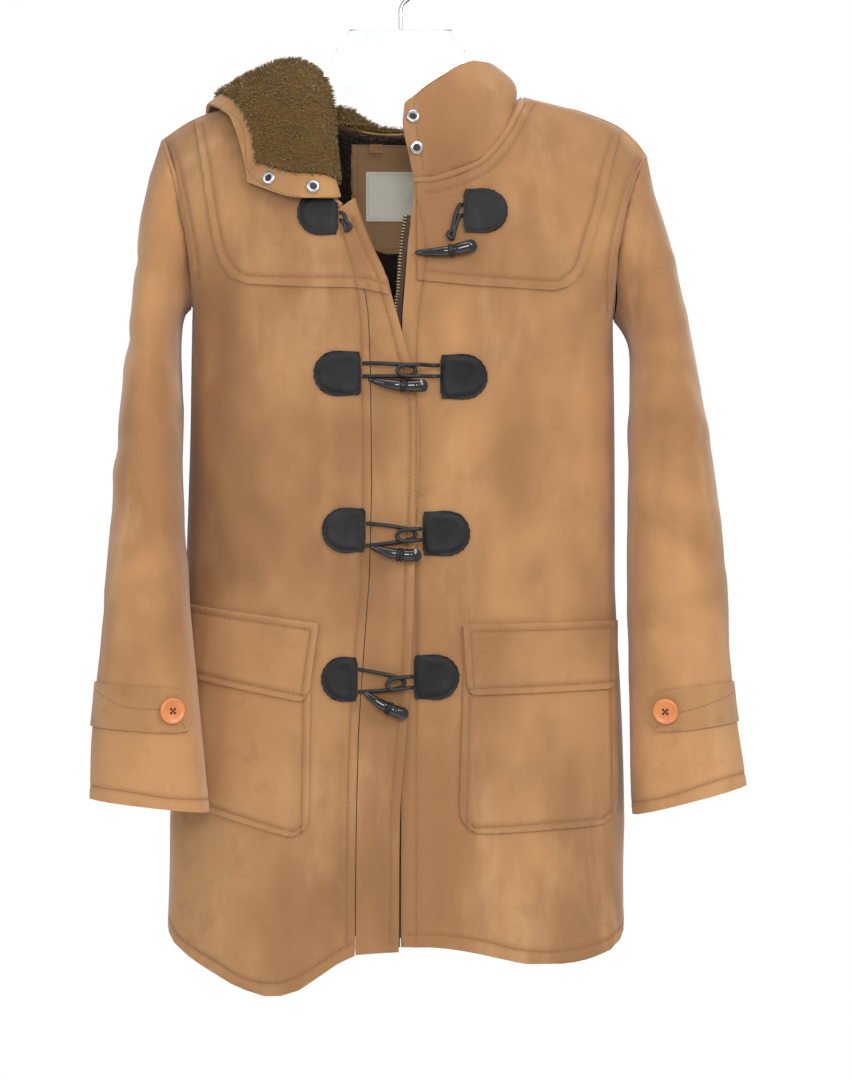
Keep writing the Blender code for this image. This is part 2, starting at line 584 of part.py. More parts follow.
def sleeve_points(side, along, angle):
    """Points of a sleeve's outer surface: along from the armhole to the cuff, angle
    from the outer edge round by the front."""
    sign = -1 if side == "r" else 1
    hole = ARMHOLE_R if side == "r" else ARMHOLE_L
    column = 1 if side == "r" else 2
    top, bottom = hole["top"], hole["bottom"]
    start = (top, float(value(SIDES, top, column)), bottom - 2 * SEAM,
             float(value(SIDES, bottom, column)), hole["half_depth"], 0)
    rows = through([start] + (SLEEVE_R if side == "r" else SLEEVE_L), along)
    outer_z, outer_x, inner_z, inner_x, depth, middle = np.moveaxis(rows, -1, 0)
    power = 2 + 0.35 * np.clip(along * 4, 0, 1)
    cosine = np.sign(np.cos(angle)) * np.abs(np.cos(angle)) ** (2 / power)
    sine = np.sign(np.sin(angle)) * np.abs(np.sin(angle)) ** (2 / power)
    swell = np.zeros_like(along + angle)
    for place, turn, span, spread, height in SLEEVE_FOLDS:
        turned_by = (angle - math.pi / 2 - turn + math.pi) % (2 * math.pi) - math.pi
        away = (along - place - 0.05 * np.sin(turned_by)) / span
        swell += height * np.exp(-away ** 2 - (turned_by / spread) ** 2)
    swell *= np.clip(np.minimum(along, 1 - along) * 12, 0, 1)
    x = (outer_x + inner_x) / 2 + (outer_x - inner_x) / 2 * cosine
    z = (outer_z + inner_z) / 2 + (outer_z - inner_z) / 2 * cosine
    y = middle - (depth + swell) * sine
    straight = np.interp(z, [bottom, top], [start[3], start[1]])
    fit = np.clip(1 - along / 0.1, 0, 1)
    x = x + fit * (value(SIDES, z, column) - straight) + sign * 2 * SEAM
    return np.stack([x, y, z], -1)


def sleeve_sheet(side, along, angle):
    """A sleeve's points and outward normals."""
    step = 0.004
    along, angle = np.meshgrid(along, angle, indexing="ij")
    down = (sleeve_points(side, np.clip(along + step, 0, 1), angle)
            - sleeve_points(side, np.clip(along - step, 0, 1), angle))
    around = sleeve_points(side, along, angle + step) - sleeve_points(side, along, angle - step)
    normal = np.cross(down, around) * (1 if side == "r" else -1)
    normal[..., 0] *= np.clip(along * 25, 0, 1)
    normal /= np.linalg.norm(normal, axis=-1, keepdims=True)
    return sleeve_points(side, along, angle), normal


def build_sleeves(mats):
    """Two pieces to a sleeve, parted at the back of the arm and under it, with its tab
    and button."""
    for side in "rl":
        tab = TABS[side]
        rows = tab["middle"] + tab["half"] * np.array([-1, 0, 1])
        along = np.unique(np.concatenate([np.linspace(0, 0.78, 13) ** 1.1, rows, [0.94, 1.0]]))
        tip = math.radians(tab["to"])
        front = np.linspace(SLEEVE_SEAM + SLEEVE_PART, math.pi - SLEEVE_PART, 9)
        front = np.unique(np.append(front[np.abs(front - tip) > 0.1], tip))
        behind = np.linspace(math.pi + SLEEVE_PART, SLEEVE_SEAM + 2 * math.pi - SLEEVE_PART, 9)
        for piece, angle in (("top", front), ("under", behind)):
            points, normal = sleeve_sheet(side, along, angle)
            add_object(f"sleeve_{piece}_{side}", *wall_mesh(points, points - CLOTH * normal),
                       mats["suede"])
        angle = np.concatenate([behind[-2:] - 2 * math.pi, front[front <= tip + 1e-6]])
        points, normal = sleeve_sheet(side, rows, angle)
        for end, share in ((-1, 0.75), (-2, 0.12)):
            for row in (0, 2):
                points[row, end] += share * (points[1, end] - points[row, end])
        add_object(f"sleeve_tab_{side}",
                   *wall_mesh(points + (LAY + CLOTH) * normal, points + LAY * normal),
                   mats["suede"])
        spot, facing = sleeve_sheet(side, [tab["middle"]], [math.radians(tab["button"])])
        centre = spot[0, 0] + facing[0, 0] * (LAY + CLOTH + 0.3)
        turned(f"button_{side}", centre, facing[0, 0], BUTTON_PROFILE, 16, mats["button"])


def frame_of(axis):
    """Two unit vectors across an axis."""
    axis = np.asarray(axis, float) / np.linalg.norm(axis)
    guide = np.array([0, 0, 1.0]) if abs(axis[2]) < 0.9 else np.array([1.0, 0, 0])
    right = np.cross(guide, axis)
    right /= np.linalg.norm(right)
    return axis, right, np.cross(axis, right)


def ring_faces(rings):
    """Faces that join rings of points in turn, with flat ends; a ring of one is a pole."""
    faces = []
    for low, high in zip(rings, rings[1:]):
        count = max(len(low), len(high))
        for k in range(count):
            m = (k + 1) % count
            if len(low) == 1:
                faces.append((low[0], high[m], high[k]))
            elif len(high) == 1:
                faces.append((low[k], low[m], high[0]))
            else:
                faces.append((low[k], low[m], high[m], high[k]))
    if len(rings[0]) > 1:
        faces.append(tuple(reversed(rings[0])))
    if len(rings[-1]) > 1:
        faces.append(tuple(rings[-1]))
    return faces


def turned(name, centre, axis, profile, sides, material):
    """A turned piece: its profile is radius, height along the axis, pole to pole."""
    axis, right, up = frame_of(axis)
    points, rings = [], []
    for radius, height in profile:
        base = np.asarray(centre) + axis * height
        count = sides if radius else 1
        rings.append(list(range(len(points), len(points) + count)))
        for k in range(count):
            turn = 2 * math.pi * k / sides
            points.append(base + radius * (math.cos(turn) * right + math.sin(turn) * up))
    return add_object(name, points, ring_faces(rings), material)


def swept(name, path, radii, sides, material):
    """A round rod along a path, with flat ends."""
    path = np.array(path, float)
    tangents = np.gradient(path, axis=0)
    right = frame_of(tangents[0])[1]
    points, rings = [], []
    for k, spot in enumerate(path):
        axis = tangents[k] / np.linalg.norm(tangents[k])
        right = right - axis * right.dot(axis)
        right /= np.linalg.norm(right)
        up = np.cross(axis, right)
        rings.append(list(range(len(points), len(points) + sides)))
        radius = np.interp(k, np.linspace(0, len(path) - 1, len(radii)), radii)
        for j in range(sides):
            turn = 2 * math.pi * j / sides
            points.append(spot + radius * (math.cos(turn) * right + math.sin(turn) * up))
    return add_object(name, points, ring_faces(rings), material)


def above(x, z, surface, height):
    """Points at a height in front of a surface and of what lies just beside them."""
    near = np.min([surface(x + step, z) for step in (-5, 0, 5)], axis=0)
    return np.stack([x, near - height, z], -1)


def loop_y(x, z):
    """The surface that the loops follow: over the placket, then down to the left front."""
    edge = np.array(PLACKET_EDGE, float)[::-1]
    away = np.clip((x - np.interp(z, edge[:, 1], edge[:, 0])) / LOOP_FALL, 0, 1)
    stand = np.interp(z, PLACKET_STAND_Z, PLACKET_STAND)
    return overlap_y(x, z) + stand * away ** 2 * (3 - 2 * away)


def patch_outline(centre, width, flat):
    """A leather patch: half round, with a straight edge; flat is 1 where that is at +x."""
    half = PATCH_HEIGHT / 2
    straight = width - half
    outline = []
    for k in range(11):
        turn = math.pi / 2 + math.pi * k / 10
        outline.append((half * math.cos(turn), half * math.sin(turn)))
    outline += [(straight - 2, -half + 1), (straight, -half + 4), (straight, half - 4),
                (straight - 2, half - 1)]
    shift = width / 2 - straight
    return [(centre[0] + flat * (x + shift), centre[1] + z) for x, z in outline]


def loop_path(start, end, gap, surface, height):
    """A cord loop: out from its patch along one strand, round the end and back."""
    (x0, z0), (x1, z1) = start, end
    turn = 4.2 if x1 > x0 else -4.2
    middle = (x0 + x1) / 2
    step = turn * 0.6
    route = [(x0, z0 + gap), (x0 + step, z0 + gap), (middle, (z0 + z1 + gap + 4.4) / 2 + 0.6),
             (x1 - turn, z1 + 4.4), (x1, z1), (x1 - turn, z1 - 4.4),
             (middle, (z0 + z1 - gap - 4.4) / 2 - 0.6), (x0 + step, z0 - gap), (x0, z0 - gap)]
    line = through(route, np.linspace(0, 1, 15))
    return above(line[:, 0], line[:, 1], surface, height)


def build_fastenings(mats, sheets):
    """Leather patches with their cord loops, and the toggles."""
    for number, row in enumerate(CLOSURES, 1):
        for side, flat in (("r", 1), ("l", -1)):
            outline = patch_outline(row[side], row[f"width_{side}"], flat)
            laid(f"patch_{number}_{side}", sheets[side], outline, row["lay"],
                 row["lay"] + PATCH_THICK, mats["leather"])
            edge = row[side][0] + flat * (row[f"width_{side}"] / 2 + LOOP_START)
            path = loop_path((edge, row[f"from_{side}"]), row[f"loop_{side}"],
                             row[f"gap_{side}"], loop_y, row[f"height_{side}"])
            swept(f"cord_{number}_{side}", path, [CORD_RADIUS], 6, mats["cord"])
        (x0, z0), (x1, z1) = row["tip"], row["end"]
        share = np.linspace(0, 1, 7)
        sag = 2.5 * np.sin(share * math.pi)
        radii = np.interp(share, np.linspace(0, 1, len(TOGGLE_RADII)), TOGGLE_RADII)
        path = above(x0 + (x1 - x0) * share, z0 + (z1 - z0) * share - sag, loop_y,
                     radii + np.interp(share, (0, 1), row["rests"]))
        swept(f"toggle_{number}", path, TOGGLE_RADII, 8, mats["horn"])


def neck_seam(side, fraction):
    """A point just off the neck seam: from the closure edge to the middle of the back."""
    front = NECK_R if side == "r" else NECK_L
    back = [p for p in NECK_BACK if (p[0] < 1 if side == "r" else p[0] > -1)]
    if side == "l":
        back = back[::-1]
    at_front = fraction <= NECK_TURN
    line = front if at_front else back
    share = fraction / NECK_TURN if at_front else (fraction - NECK_TURN) / (1 - NECK_TURN)
    x, z = through(line, [share])[0]
    a, b = through(line, [max(share - 0.02, 0), min(share + 0.02, 1)])
    dx, dz = (b - a) / np.linalg.norm(b - a)
    sign = 1 if (side == "r") == at_front else -1
    x, z = x + sign * dz * HOOD_RISE, z - sign * dx * HOOD_RISE
    surface = front_y if at_front else back_y
    return np.array([x, surface(np.array(x), np.array(z)), z], float)


def hood_stations(side):
    """The hood's profiles as named in its tables, from the closure edge to the middle."""
    rows = []
    flap, bag = (FLAP_R, BAG_R) if side == "r" else (FLAP_L, BAG_L)
    for row in [*flap, *bag, BAG_MIDDLE]:
        knots = [neck_seam(side, row["seam"])]
        knots += [np.array(row[name], float) for name in HOOD_COLUMNS if name in row]
        if row is BAG_MIDDLE:
            for knot in knots:
                knot[0] = -HOOD_PART if side == "r" else HOOD_PART
        rows.append(through(knots, np.linspace(0, 1, 25)))
    return np.array(rows)


def eased(grid, turns):
    """Even out a grid: each inner point moves towards the mean of its neighbours."""
    grid = grid.copy()
    for turn in range(turns):
        mean = (grid[2:, 1:-1] + grid[:-2, 1:-1] + grid[1:-1, 2:] + grid[1:-1, :-2]) / 4
        rim = (grid[2:, -1] + grid[:-2, -1]) / 2
        low = (grid[-1, 2:] + grid[-1, :-2]) / 2
        grid[1:-1, 1:-1] = (grid[1:-1, 1:-1] + mean) / 2
        grid[1:-1, -1] = (grid[1:-1, -1] + rim) / 2
        grid[-1, 1:-1] = (grid[-1, 1:-1] + low) / 2
    return grid


def hood_sheet(side):
    """The hood's grid and its normals towards the fur: rows run from the closure edge
    to the middle of the back, columns from the neck seam to the rim; its first row and
    last column bound the trim band."""
    profiles = hood_stations(side)
    flat = profiles.reshape(len(profiles), -1)
    near = through(flat, [0, 0.05]).reshape(2, -1, 3)
    apart = np.linalg.norm(near[1] - near[0], axis=1).mean()
    along = np.concatenate([[0, 0.05 * TRIM_WIDTH / apart], np.linspace(0.12, 1, 14)])
    rows = []
    for profile in through(flat, along).reshape(len(along), -1, 3):
        length = np.linalg.norm(np.diff(profile, axis=0), axis=1).sum()
        shares = np.append(np.linspace(0, 1 - TRIM_WIDTH / length, HOOD_COLUMN_COUNT), 1)
        rows.append(through(profile, shares, smooth=False))
    grid = eased(np.array(rows), 2)
    normal = np.cross(np.gradient(grid, axis=0), np.gradient(grid, axis=1))
    normal *= 1 if side == "r" else -1
    normal /= np.maximum(np.linalg.norm(normal, axis=-1, keepdims=True), 1e-9)
    for turn in range(3):
        padded = np.pad(normal, ((1, 1), (1, 1), (0, 0)), mode="edge")
        normal = (2 * normal + padded[2:, 1:-1] + padded[:-2, 1:-1]
                  + padded[1:-1, 2:] + padded[1:-1, :-2])
        normal[-1, :, 0] = 0
        normal /= np.maximum(np.linalg.norm(normal, axis=-1, keepdims=True), 1e-9)
    return grid, normal


def build_hood(mats):
    """Two halves of the hood, the suede band round its opening, and its fur lining."""
    low = CLOTH + LAY
    for side in "rl":
        grid, normal = hood_sheet(side)
        add_object(f"hood_{side}", *wall_mesh(grid, grid + CLOTH * normal), mats["suede"])
        band = np.zeros((grid.shape[0] - 1, grid.shape[1] - 1), bool)
        band[0, :] = True
        band[:, -1] = True
        mesh = wall_mesh(grid + (low + CLOTH) * normal, grid + low * normal, band)
        add_object(f"hood_trim_{side}", *mesh, mats["trim"])
        both = np.concatenate([grid, normal], -1)
        pile = both.copy()
        for edge, inner in ((np.s_[1], np.s_[2]), (np.s_[:, -2], np.s_[:, -3])):
            step = both[inner] - both[edge]
            pile[edge] += FUR_PART * step / np.linalg.norm(step[..., :3], axis=-1, keepdims=True)
        pile, lean = pile[..., :3], pile[..., 3:]
        mesh = wall_mesh(pile + (low + FUR_PART + FUR) * lean, pile + (low + FUR_PART) * lean, ~band)
        add_object(f"hood_fur_{side}", *mesh, mats["olive"])
        for number, column in enumerate(SNAPS, 1):
            spot = (grid[0, column] + grid[1, column]) / 2
            facing = normal[0:2, column - 1:column + 2].sum(axis=(0, 1))
            facing /= np.linalg.norm(facing)
            turned(f"snap_{side}_{number}", spot + facing * (low + CLOTH + 1.1), facing,
                   SNAP_PROFILE, 10, mats["steel"])


def build_inside(mats, sheets):
    """Fur, half-moon facing, label and loop inside the back neck."""
    back = sheets["back"]
    neck = [(x, z - 4) for x, z in NECK_BACK if -100 < x < 90]
    outline = neck + [(92, -400), (-104, -400)]
    top = -CLOTH - LAY
    laid("back_fur", back, outline, top - FUR, top, mats["brown"])
    top -= FUR + LAY
    moon = [FACING["middle"] + FACING["half_width"] * math.cos(math.pi * k / 14) for k in range(15)]
    low = [FACING["straight"] - FACING["drop"] * math.sin(math.pi * k / 14) for k in range(15)]
    outline = [(moon[0], FACING["top"])] + list(zip(moon, low)) + [(moon[-1], FACING["top"])]
    laid("back_facing", back, outline, top - 1.2, top, mats["facing"])
    top -= 1.2 + LAY
    x0, z0, x1, z1 = LABEL_CORNERS
    laid("label", back, [(x0, z0), (x1, z0), (x1, z1), (x0, z1)], top - 0.6, top, mats["label"])
    x0, z0, x1, z1 = LOOP_CORNERS
    laid("hanger_loop", back, [(x0, z0), (x1, z0), (x1, z1), (x0, z1)], top - 2.4, top,
         mats["trim"])


def build_hanger(mats):
    """A one-piece clear hanger under the shoulders, and its steel hook."""
    xs = [p[0] for p in SHOULDER]
    zs = [p[1] for p in SHOULDER]
    places = [-1, -0.985, -0.95, -0.87, -0.75, -0.64, -0.57, -0.5, -0.41, -0.306, -0.245, -0.12]
    places = np.array(places + [0] + [-p for p in places[::-1]]) * HANGER_REACH
    points, rings = [], []
    for x in places:
        size = abs(x)
        if size > HANGER_NECK:
            top = np.interp(x, xs, zs) - CLOTH - HANGER_DROP
        else:
            top = np.interp(size, *zip(*HANGER_TOP))
        tall = np.interp(size, *zip(*HANGER_HEIGHT))
        if size > 0.97 * HANGER_REACH:
            top -= 3 if size > 0.99 * HANGER_REACH else 1
        half = HANGER_THICK / 2
        section = [(-half, -0.16 * tall), (-half * 0.6, -0.03 * tall), (0, 0),
                   (half * 0.6, -0.03 * tall), (half, -0.16 * tall), (half, -0.86 * tall),
                   (0, -tall), (-half, -0.86 * tall)]
        rings.append(list(range(len(points), len(points) + len(section))))
        points += [(x, y, top + z) for y, z in section]
    add_object("hanger", points, ring_faces(rings), mats["clear"])
    reach = HOOK_BEND + HOOK_WIRE
    path = [(0, 0, -69.6), (0, 0, -60), (0, 0, -52), (2.5, 0, -45), (9, 0, -39.5)]
    for k in range(15):
        turn = math.radians(-48 + 262 * k / 14)
        path.append((reach * math.cos(turn), 0, reach * math.sin(turn) - HOOK_BEND))
    swept("hanger_hook", path, [HOOK_WIRE], 8, mats["steel"])


def main():
    """Build the coat."""
    clear_scene()
    mats = {
        "suede": finish("suede", SUEDE, 0.9),
        "trim": finish("trim", TRIM, 0.9),
        "facing": finish("facing", FACING_COLOUR, 0.9),
        "olive": finish("olive_fur", OLIVE, 0.95),
        "brown": finish("brown_fur", BROWN, 0.95),
        "leather": finish("leather", LEATHER, 0.45),
        "horn": finish("horn", HORN, 0.15),
        "cord": finish("cord", CORD_COLOUR, 0.6),
        "button": finish("button", BUTTON, 0.35),
        "steel": finish("steel", STEEL, 0.25, metallic=1.0),
        "label": finish("label", LABEL, 0.6),
        "zip": finish("zip", ZIP, 0.4, metallic=0.6),
        "clear": finish("clear_plastic", CLEAR, 0.1, alpha=0.35),
    }
    sheets = {"r": front_sheet("r"), "l": front_sheet("l"), "back": back_sheet()}
    build_body(mats, sheets)
    build_yokes(mats, sheets)
    build_pockets(mats, sheets)
    build_sleeves(mats)
    build_fastenings(mats, sheets)
    build_hood(mats)
    build_inside(mats, sheets)
    build_hanger(mats)


main()
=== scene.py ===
"""Looks of a suede duffle coat that hangs from a clear hanger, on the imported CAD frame.

Tables are in millimetres as seen from the front: x to the viewer's right, z up from the
point where the rail bears. Names end in _r for the wearer's right, at -x, and in _l for
the wearer's left.
"""
import math

import bmesh
import bpy
import numpy as np
from bpy.props import FloatProperty, FloatVectorProperty, IntProperty, PointerProperty
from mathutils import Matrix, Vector, noise
from mathutils.bvhtree import BVHTree
from mathutils.kdtree import KDTree


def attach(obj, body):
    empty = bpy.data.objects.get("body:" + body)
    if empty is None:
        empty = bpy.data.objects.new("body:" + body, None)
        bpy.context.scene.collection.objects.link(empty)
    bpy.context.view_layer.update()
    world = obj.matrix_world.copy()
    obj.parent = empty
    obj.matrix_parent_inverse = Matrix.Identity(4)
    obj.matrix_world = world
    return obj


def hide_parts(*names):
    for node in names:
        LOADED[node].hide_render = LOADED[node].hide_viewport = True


bl_info = {
    "name": "Suede duffle coat",
    "version": (1, 0, 0),
    "blender": (4, 5, 0),
    "location": "View3D > Sidebar > Coat",
    "description": "Cloth, fur, stitching and fittings of a duffle coat on a hanger",
    "category": "Object",
}

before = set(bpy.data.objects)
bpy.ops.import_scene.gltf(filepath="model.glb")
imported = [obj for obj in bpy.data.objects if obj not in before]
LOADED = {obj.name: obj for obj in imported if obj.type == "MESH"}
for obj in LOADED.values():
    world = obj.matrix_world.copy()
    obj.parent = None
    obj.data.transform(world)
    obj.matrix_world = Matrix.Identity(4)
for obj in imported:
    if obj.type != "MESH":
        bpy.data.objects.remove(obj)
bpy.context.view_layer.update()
MM = 0.001

# Camera: where it stands, and the height of the picture at the coat's front.
CAMERA_X, CAMERA_Z = 23.9, -552.0
CAMERA_DISTANCE = 3000.0
PICTURE_HEIGHT = 993.6
FRONT_PLANE = -80.0
FLOOR_Z = -1420.0
FLOOR_RADIUS = 1250.0
AIM = (0.02, 0, -0.5)     # where the lights point, in metres
LINING_EASE = 1.0         # how far the lining lies off the suede
# Stitched seams: how far out the cloth is finer and painted darker as the shade of the groove,
# half the groove, where the welt beside it peaks, and the cell in which seams are looked up.
SEAM_REACH, SEAM_SHADE, GROOVE_HALF, SEAM_WELT, CELL = 3.5, 2.6, 1.5, 4.6, 12.0
FAR = 99.0                # stands for a seam that is out of reach
STUDIO_LIGHT = 0.56       # strength of the white room, as the coat meets it
# Area lights: place and size in metres, power in watts.
LIGHTS = {
    "key": ((1.7, -2.0, 0.9), 1.2, 29), "fill": ((-2.0, -2.0, 0.1), 1.4, 12),
    "front": ((0.0, -2.9, 0.2), 0.8, 24), "top": ((0.1, -0.4, 1.2), 1.0, 7),
    "rear": ((0.6, 2.2, 0.5), 1.4, 30),
}

SUEDE = (0.455, 0.238, 0.103)
SUEDE_DARK = (0.300, 0.146, 0.062)
SUEDE_LIGHT = (0.560, 0.325, 0.165)
TRIM = (0.480, 0.260, 0.105)
OLIVE = (0.110, 0.060, 0.011)
OLIVE_TIP = (0.360, 0.222, 0.060)
BROWN = (0.016, 0.008, 0.005)
BROWN_TIP = (0.075, 0.030, 0.016)
THREAD = (0.250, 0.128, 0.056)
PINKED = (0.400, 0.235, 0.120)
CREAM = (0.930, 0.890, 0.740)
BLACK = (0.006, 0.006, 0.007)
HORN = (0.006, 0.006, 0.007)
AMBER = (0.720, 0.250, 0.075)
BRONZE = (0.230, 0.160, 0.090)
SILVER = (0.62, 0.62, 0.62)
CLEAR = (0.96, 0.98, 1.0)

# Soft creases of the fronts and the back: start x, z, end x, z, half width, height.
FRONT_CREASES = [
    (-165, -320, -175, -470, 10, -2.6), (-150, -300, -150, -400, 12, 2.0),
    (-186, -450, -150, -585, 14, 2.2), (-120, -345, -70, -460, 16, -1.6),
    (-90, -470, -60, -600, 15, 1.8), (-60, -420, -52, -520, 9, -1.6),
    (-140, -520, -100, -600, 12, -1.4), (-46, -560, -50, -660, 8, 1.5),
    (-60, -730, -64, -900, 9, -2.6), (-48, -715, -47, -905, 7, 2.2),
    (-150, -845, -176, -925, 14, 2.2), (-110, -850, -128, -955, 15, -2.0),
    (-20, -440, -4, -505, 7, 1.2), (-22, -580, 2, -640, 7, -1.2),
    (-26, -730, -10, -860, 9, 1.6), (24, -340, 30, -470, 9, -2.4),
    (40, -330, 52, -420, 12, 1.7), (90, -335, 70, -450, 16, -1.5),
    (150, -330, 182, -455, 11, 2.4), (176, -345, 190, -420, 8, -2.2),
    (34, -470, 30, -660, 10, 1.6), (120, -450, 160, -570, 18, 1.6),
    (90, -500, 70, -610, 14, -1.4), (26, -700, 30, -900, 11, -2.2),
    (44, -850, 40, -925, 10, 1.8), (130, -860, 140, -935, 14, 1.8),
    (180, -850, 188, -925, 10, -2.0), (60, -215, 110, -260, 12, 1.2),
    (-150, -180, -120, -270, 14, 1.2), (130, -170, 150, -260, 14, -1.2),
]
BACK_CREASES = [
    (-160, -320, -176, -460, 11, -2.4), (-140, -300, -120, -420, 13, 2.0),
    (160, -330, 180, -460, 11, -2.4), (140, -310, 118, -430, 13, 2.0),
    (-60, -420, -80, -600, 16, -1.8), (70, -430, 86, -610, 16, -1.8),
    (-20, -500, -10, -680, 14, 1.8), (30, -600, 34, -800, 14, -1.8),
    (-120, -640, -136, -820, 16, 2.2), (130, -650, 142, -830, 16, 2.2),
    (-40, -760, -50, -920, 14, 2.2), (60, -780, 70, -925, 14, 2.0),
    (-90, -840, -96, -930, 10, -2.2), (100, -850, 106, -930, 10, -2.2),
    (0, -380, 8, -470, 12, 1.2), (-180, -560, -150, -700, 14, -1.8),
]
# Sleeve creases: z, angle from the front in degrees (out and back is positive), half
# height, half span in degrees, height, slope in millimetres a radian.
SLEEVE_CREASES = {
    "r": [(-235, 10, 9, 50, -2.4, 14), (-262, -20, 10, 60, 2.2, 18), (-300, 20, 9, 55, -2.4, 20),
          (-335, -15, 10, 50, 2.2, -12), (-372, 25, 9, 60, -2.8, 16), (-410, -10, 11, 60, 2.4, 18),
          (-452, 5, 10, 55, -2.6, -16), (-498, 15, 12, 65, 2.2, 14), (-545, -20, 11, 55, -2.2, 16),
          (-588, 10, 12, 60, 2.0, -12), (-632, -5, 10, 50, -1.8, 12), (-330, 160, 11, 70, -2.6, 14),
          (-420, 180, 12, 70, 2.6, -14), (-500, 170, 12, 70, -2.6, 14),
          (-590, 185, 12, 60, 2.2, 12)],
    "l": [(-240, -10, 9, 50, -2.4, -14), (-278, 15, 10, 60, 2.4, -18), (-318, -20, 9, 55, -2.4, 18),
          (-350, 10, 10, 50, 2.2, 14), (-392, -15, 10, 60, -2.6, -18), (-436, 12, 11, 60, 2.4, -16),
          (-478, -8, 10, 55, -2.4, 14), (-520, 10, 12, 65, 2.2, -14), (-560, 15, 11, 55, -2.2, -14),
          (-604, -10, 12, 60, 2.0, 12), (-640, 5, 10, 50, -1.6, -12), (-340, 170, 11, 70, -2.6, 14),
          (-430, 185, 12, 70, 2.6, -14), (-510, 165, 12, 70, -2.6, 14),
          (-600, 180, 12, 60, 2.2, 12)],
}

# Rows of stitching seen from the front: x, z.
STITCH_FRONT = {
    "yoke_r": [(-186, -162), (-176, -206), (-168, -256), (-161, -286), (-152, -301), (-138, -308),
               (-90, -310), (-37, -311), (-14, -317)],
    "yoke_l": [(199, -172), (187, -207), (179, -241), (170, -270), (161, -299), (151, -309),
               (141, -313), (70, -309), (22, -304)],
    "neck_r": [(-64, -248), (-82, -232), (-98, -206), (-109, -180), (-116, -156), (-119, -144)],
    "neck_l": [(24, -232), (36, -231), (58, -224), (80, -213), (97, -196), (111, -174),
               (120, -154), (126, -144)],
    "placket_seam": [(-55, -262), (-44, -300), (-37, -340), (-35, -400), (-34, -500), (-36, -584),
                     (-40, -637), (-46, -725), (-48, -804), (-49, -925)],
    "placket_edge": [(-44, -256), (-34, -282), (-21, -309), (-15, -332), (-9, -352), (-2, -380),
                     (5, -402), (9, -432), (9, -495), (5, -584), (3, -654), (-3, -740), (-8, -804),
                     (-9, -922)],
    "zip_l": [(16, -240), (22, -268), (24, -290), (22, -310), (17, -350), (15, -430), (15, -920)],
    "armhole_r": [(-218, -176), (-211, -189), (-204, -211), (-197, -240), (-189, -284),
                  (-187, -310)],
    "armhole_l": [(224, -192), (214, -211), (204, -241), (194, -285), (192, -315), (193, -340)],
    "hem_r": [(-44, -921), (-60, -930), (-80, -944), (-96, -953), (-116, -958), (-142, -955),
              (-172, -940), (-205, -922), (-218, -906)],
    "hem_l": [(6, -914), (40, -914), (80, -920), (112, -928), (150, -931), (186, -926),
              (203, -917), (211, -906)],
}
STITCH_BACK = {
    "back_hem": [(-216, -904), (-180, -914), (-110, -924), (0, -928), (110, -922), (180, -912),
                 (209, -904)],
    "back_armhole_r": [(-216, -180), (-206, -211), (-198, -240), (-190, -284), (-188, -320)],
    "back_armhole_l": [(222, -196), (212, -214), (202, -242), (194, -285), (193, -330)],
    "back_seam": [(-3, -200), (-3, -910)],
    "back_neck": [(-112, -150), (-97, -156), (-70, -167), (-35, -173), (0, -175), (38, -173),
                  (76, -167), (103, -157), (119, -148)],
}
# Pockets and flaps: top corners, bottom corners, corner radius.
POCKETS = {
    "pocket_r": ((-204, -612), (-82, -634), (-192, -800), (-84, -829), 20),
    "pocket_l": ((60, -632), (202, -628), (54, -823), (204, -816), 22),
    "pocket_flap_r": ((-204, -611), (-75, -629), (-198, -680), (-85, -702), 10),
    "pocket_flap_l": ((58, -630), (204, -627), (62, -695), (203, -690), 8),
}
POCKET_INSET = 6.5        # from the edge of a pocket or flap to its stitching
FRONT_NODES = ("front_l", "front_r", "placket", "yoke_l", "yoke_r")
SLEEVE_SIDES = {"r": -1, "l": 1}
# Cuffs: height of the outer and the inner edge. The outer seam's angle round the sleeve.
CUFFS = {"r": (-788, -801), "l": (-780, -808)}
SLEEVE_SEAM = 14
TAB_ROWS = {
    "r": [(-277, -689), (-261, -698), (-243, -704), (-210, -707), (-194, -724), (-198, -735),
          (-228, -737), (-259, -731), (-277, -726)],
    "l": [(316, -689), (305, -696), (277, -706), (247, -715), (236, -730), (247, -743),
          (276, -737), (305, -730), (318, -722)],
}
# Rows on the hood's turned-out edges.
HOOD_ROWS = {
    "r": [(-179, -150), (-170, -148), (-158, -155), (-147, -168), (-143, -182), (-142, -200),
          (-139, -214), (-128, -224), (-110, -233), (-92, -238), (-74, -243)],
    "l": [(56, -106), (46, -117), (33, -127), (22, -136), (14, -146), (13, -160), (16, -176),
          (18, -190), (22, -212)],
}

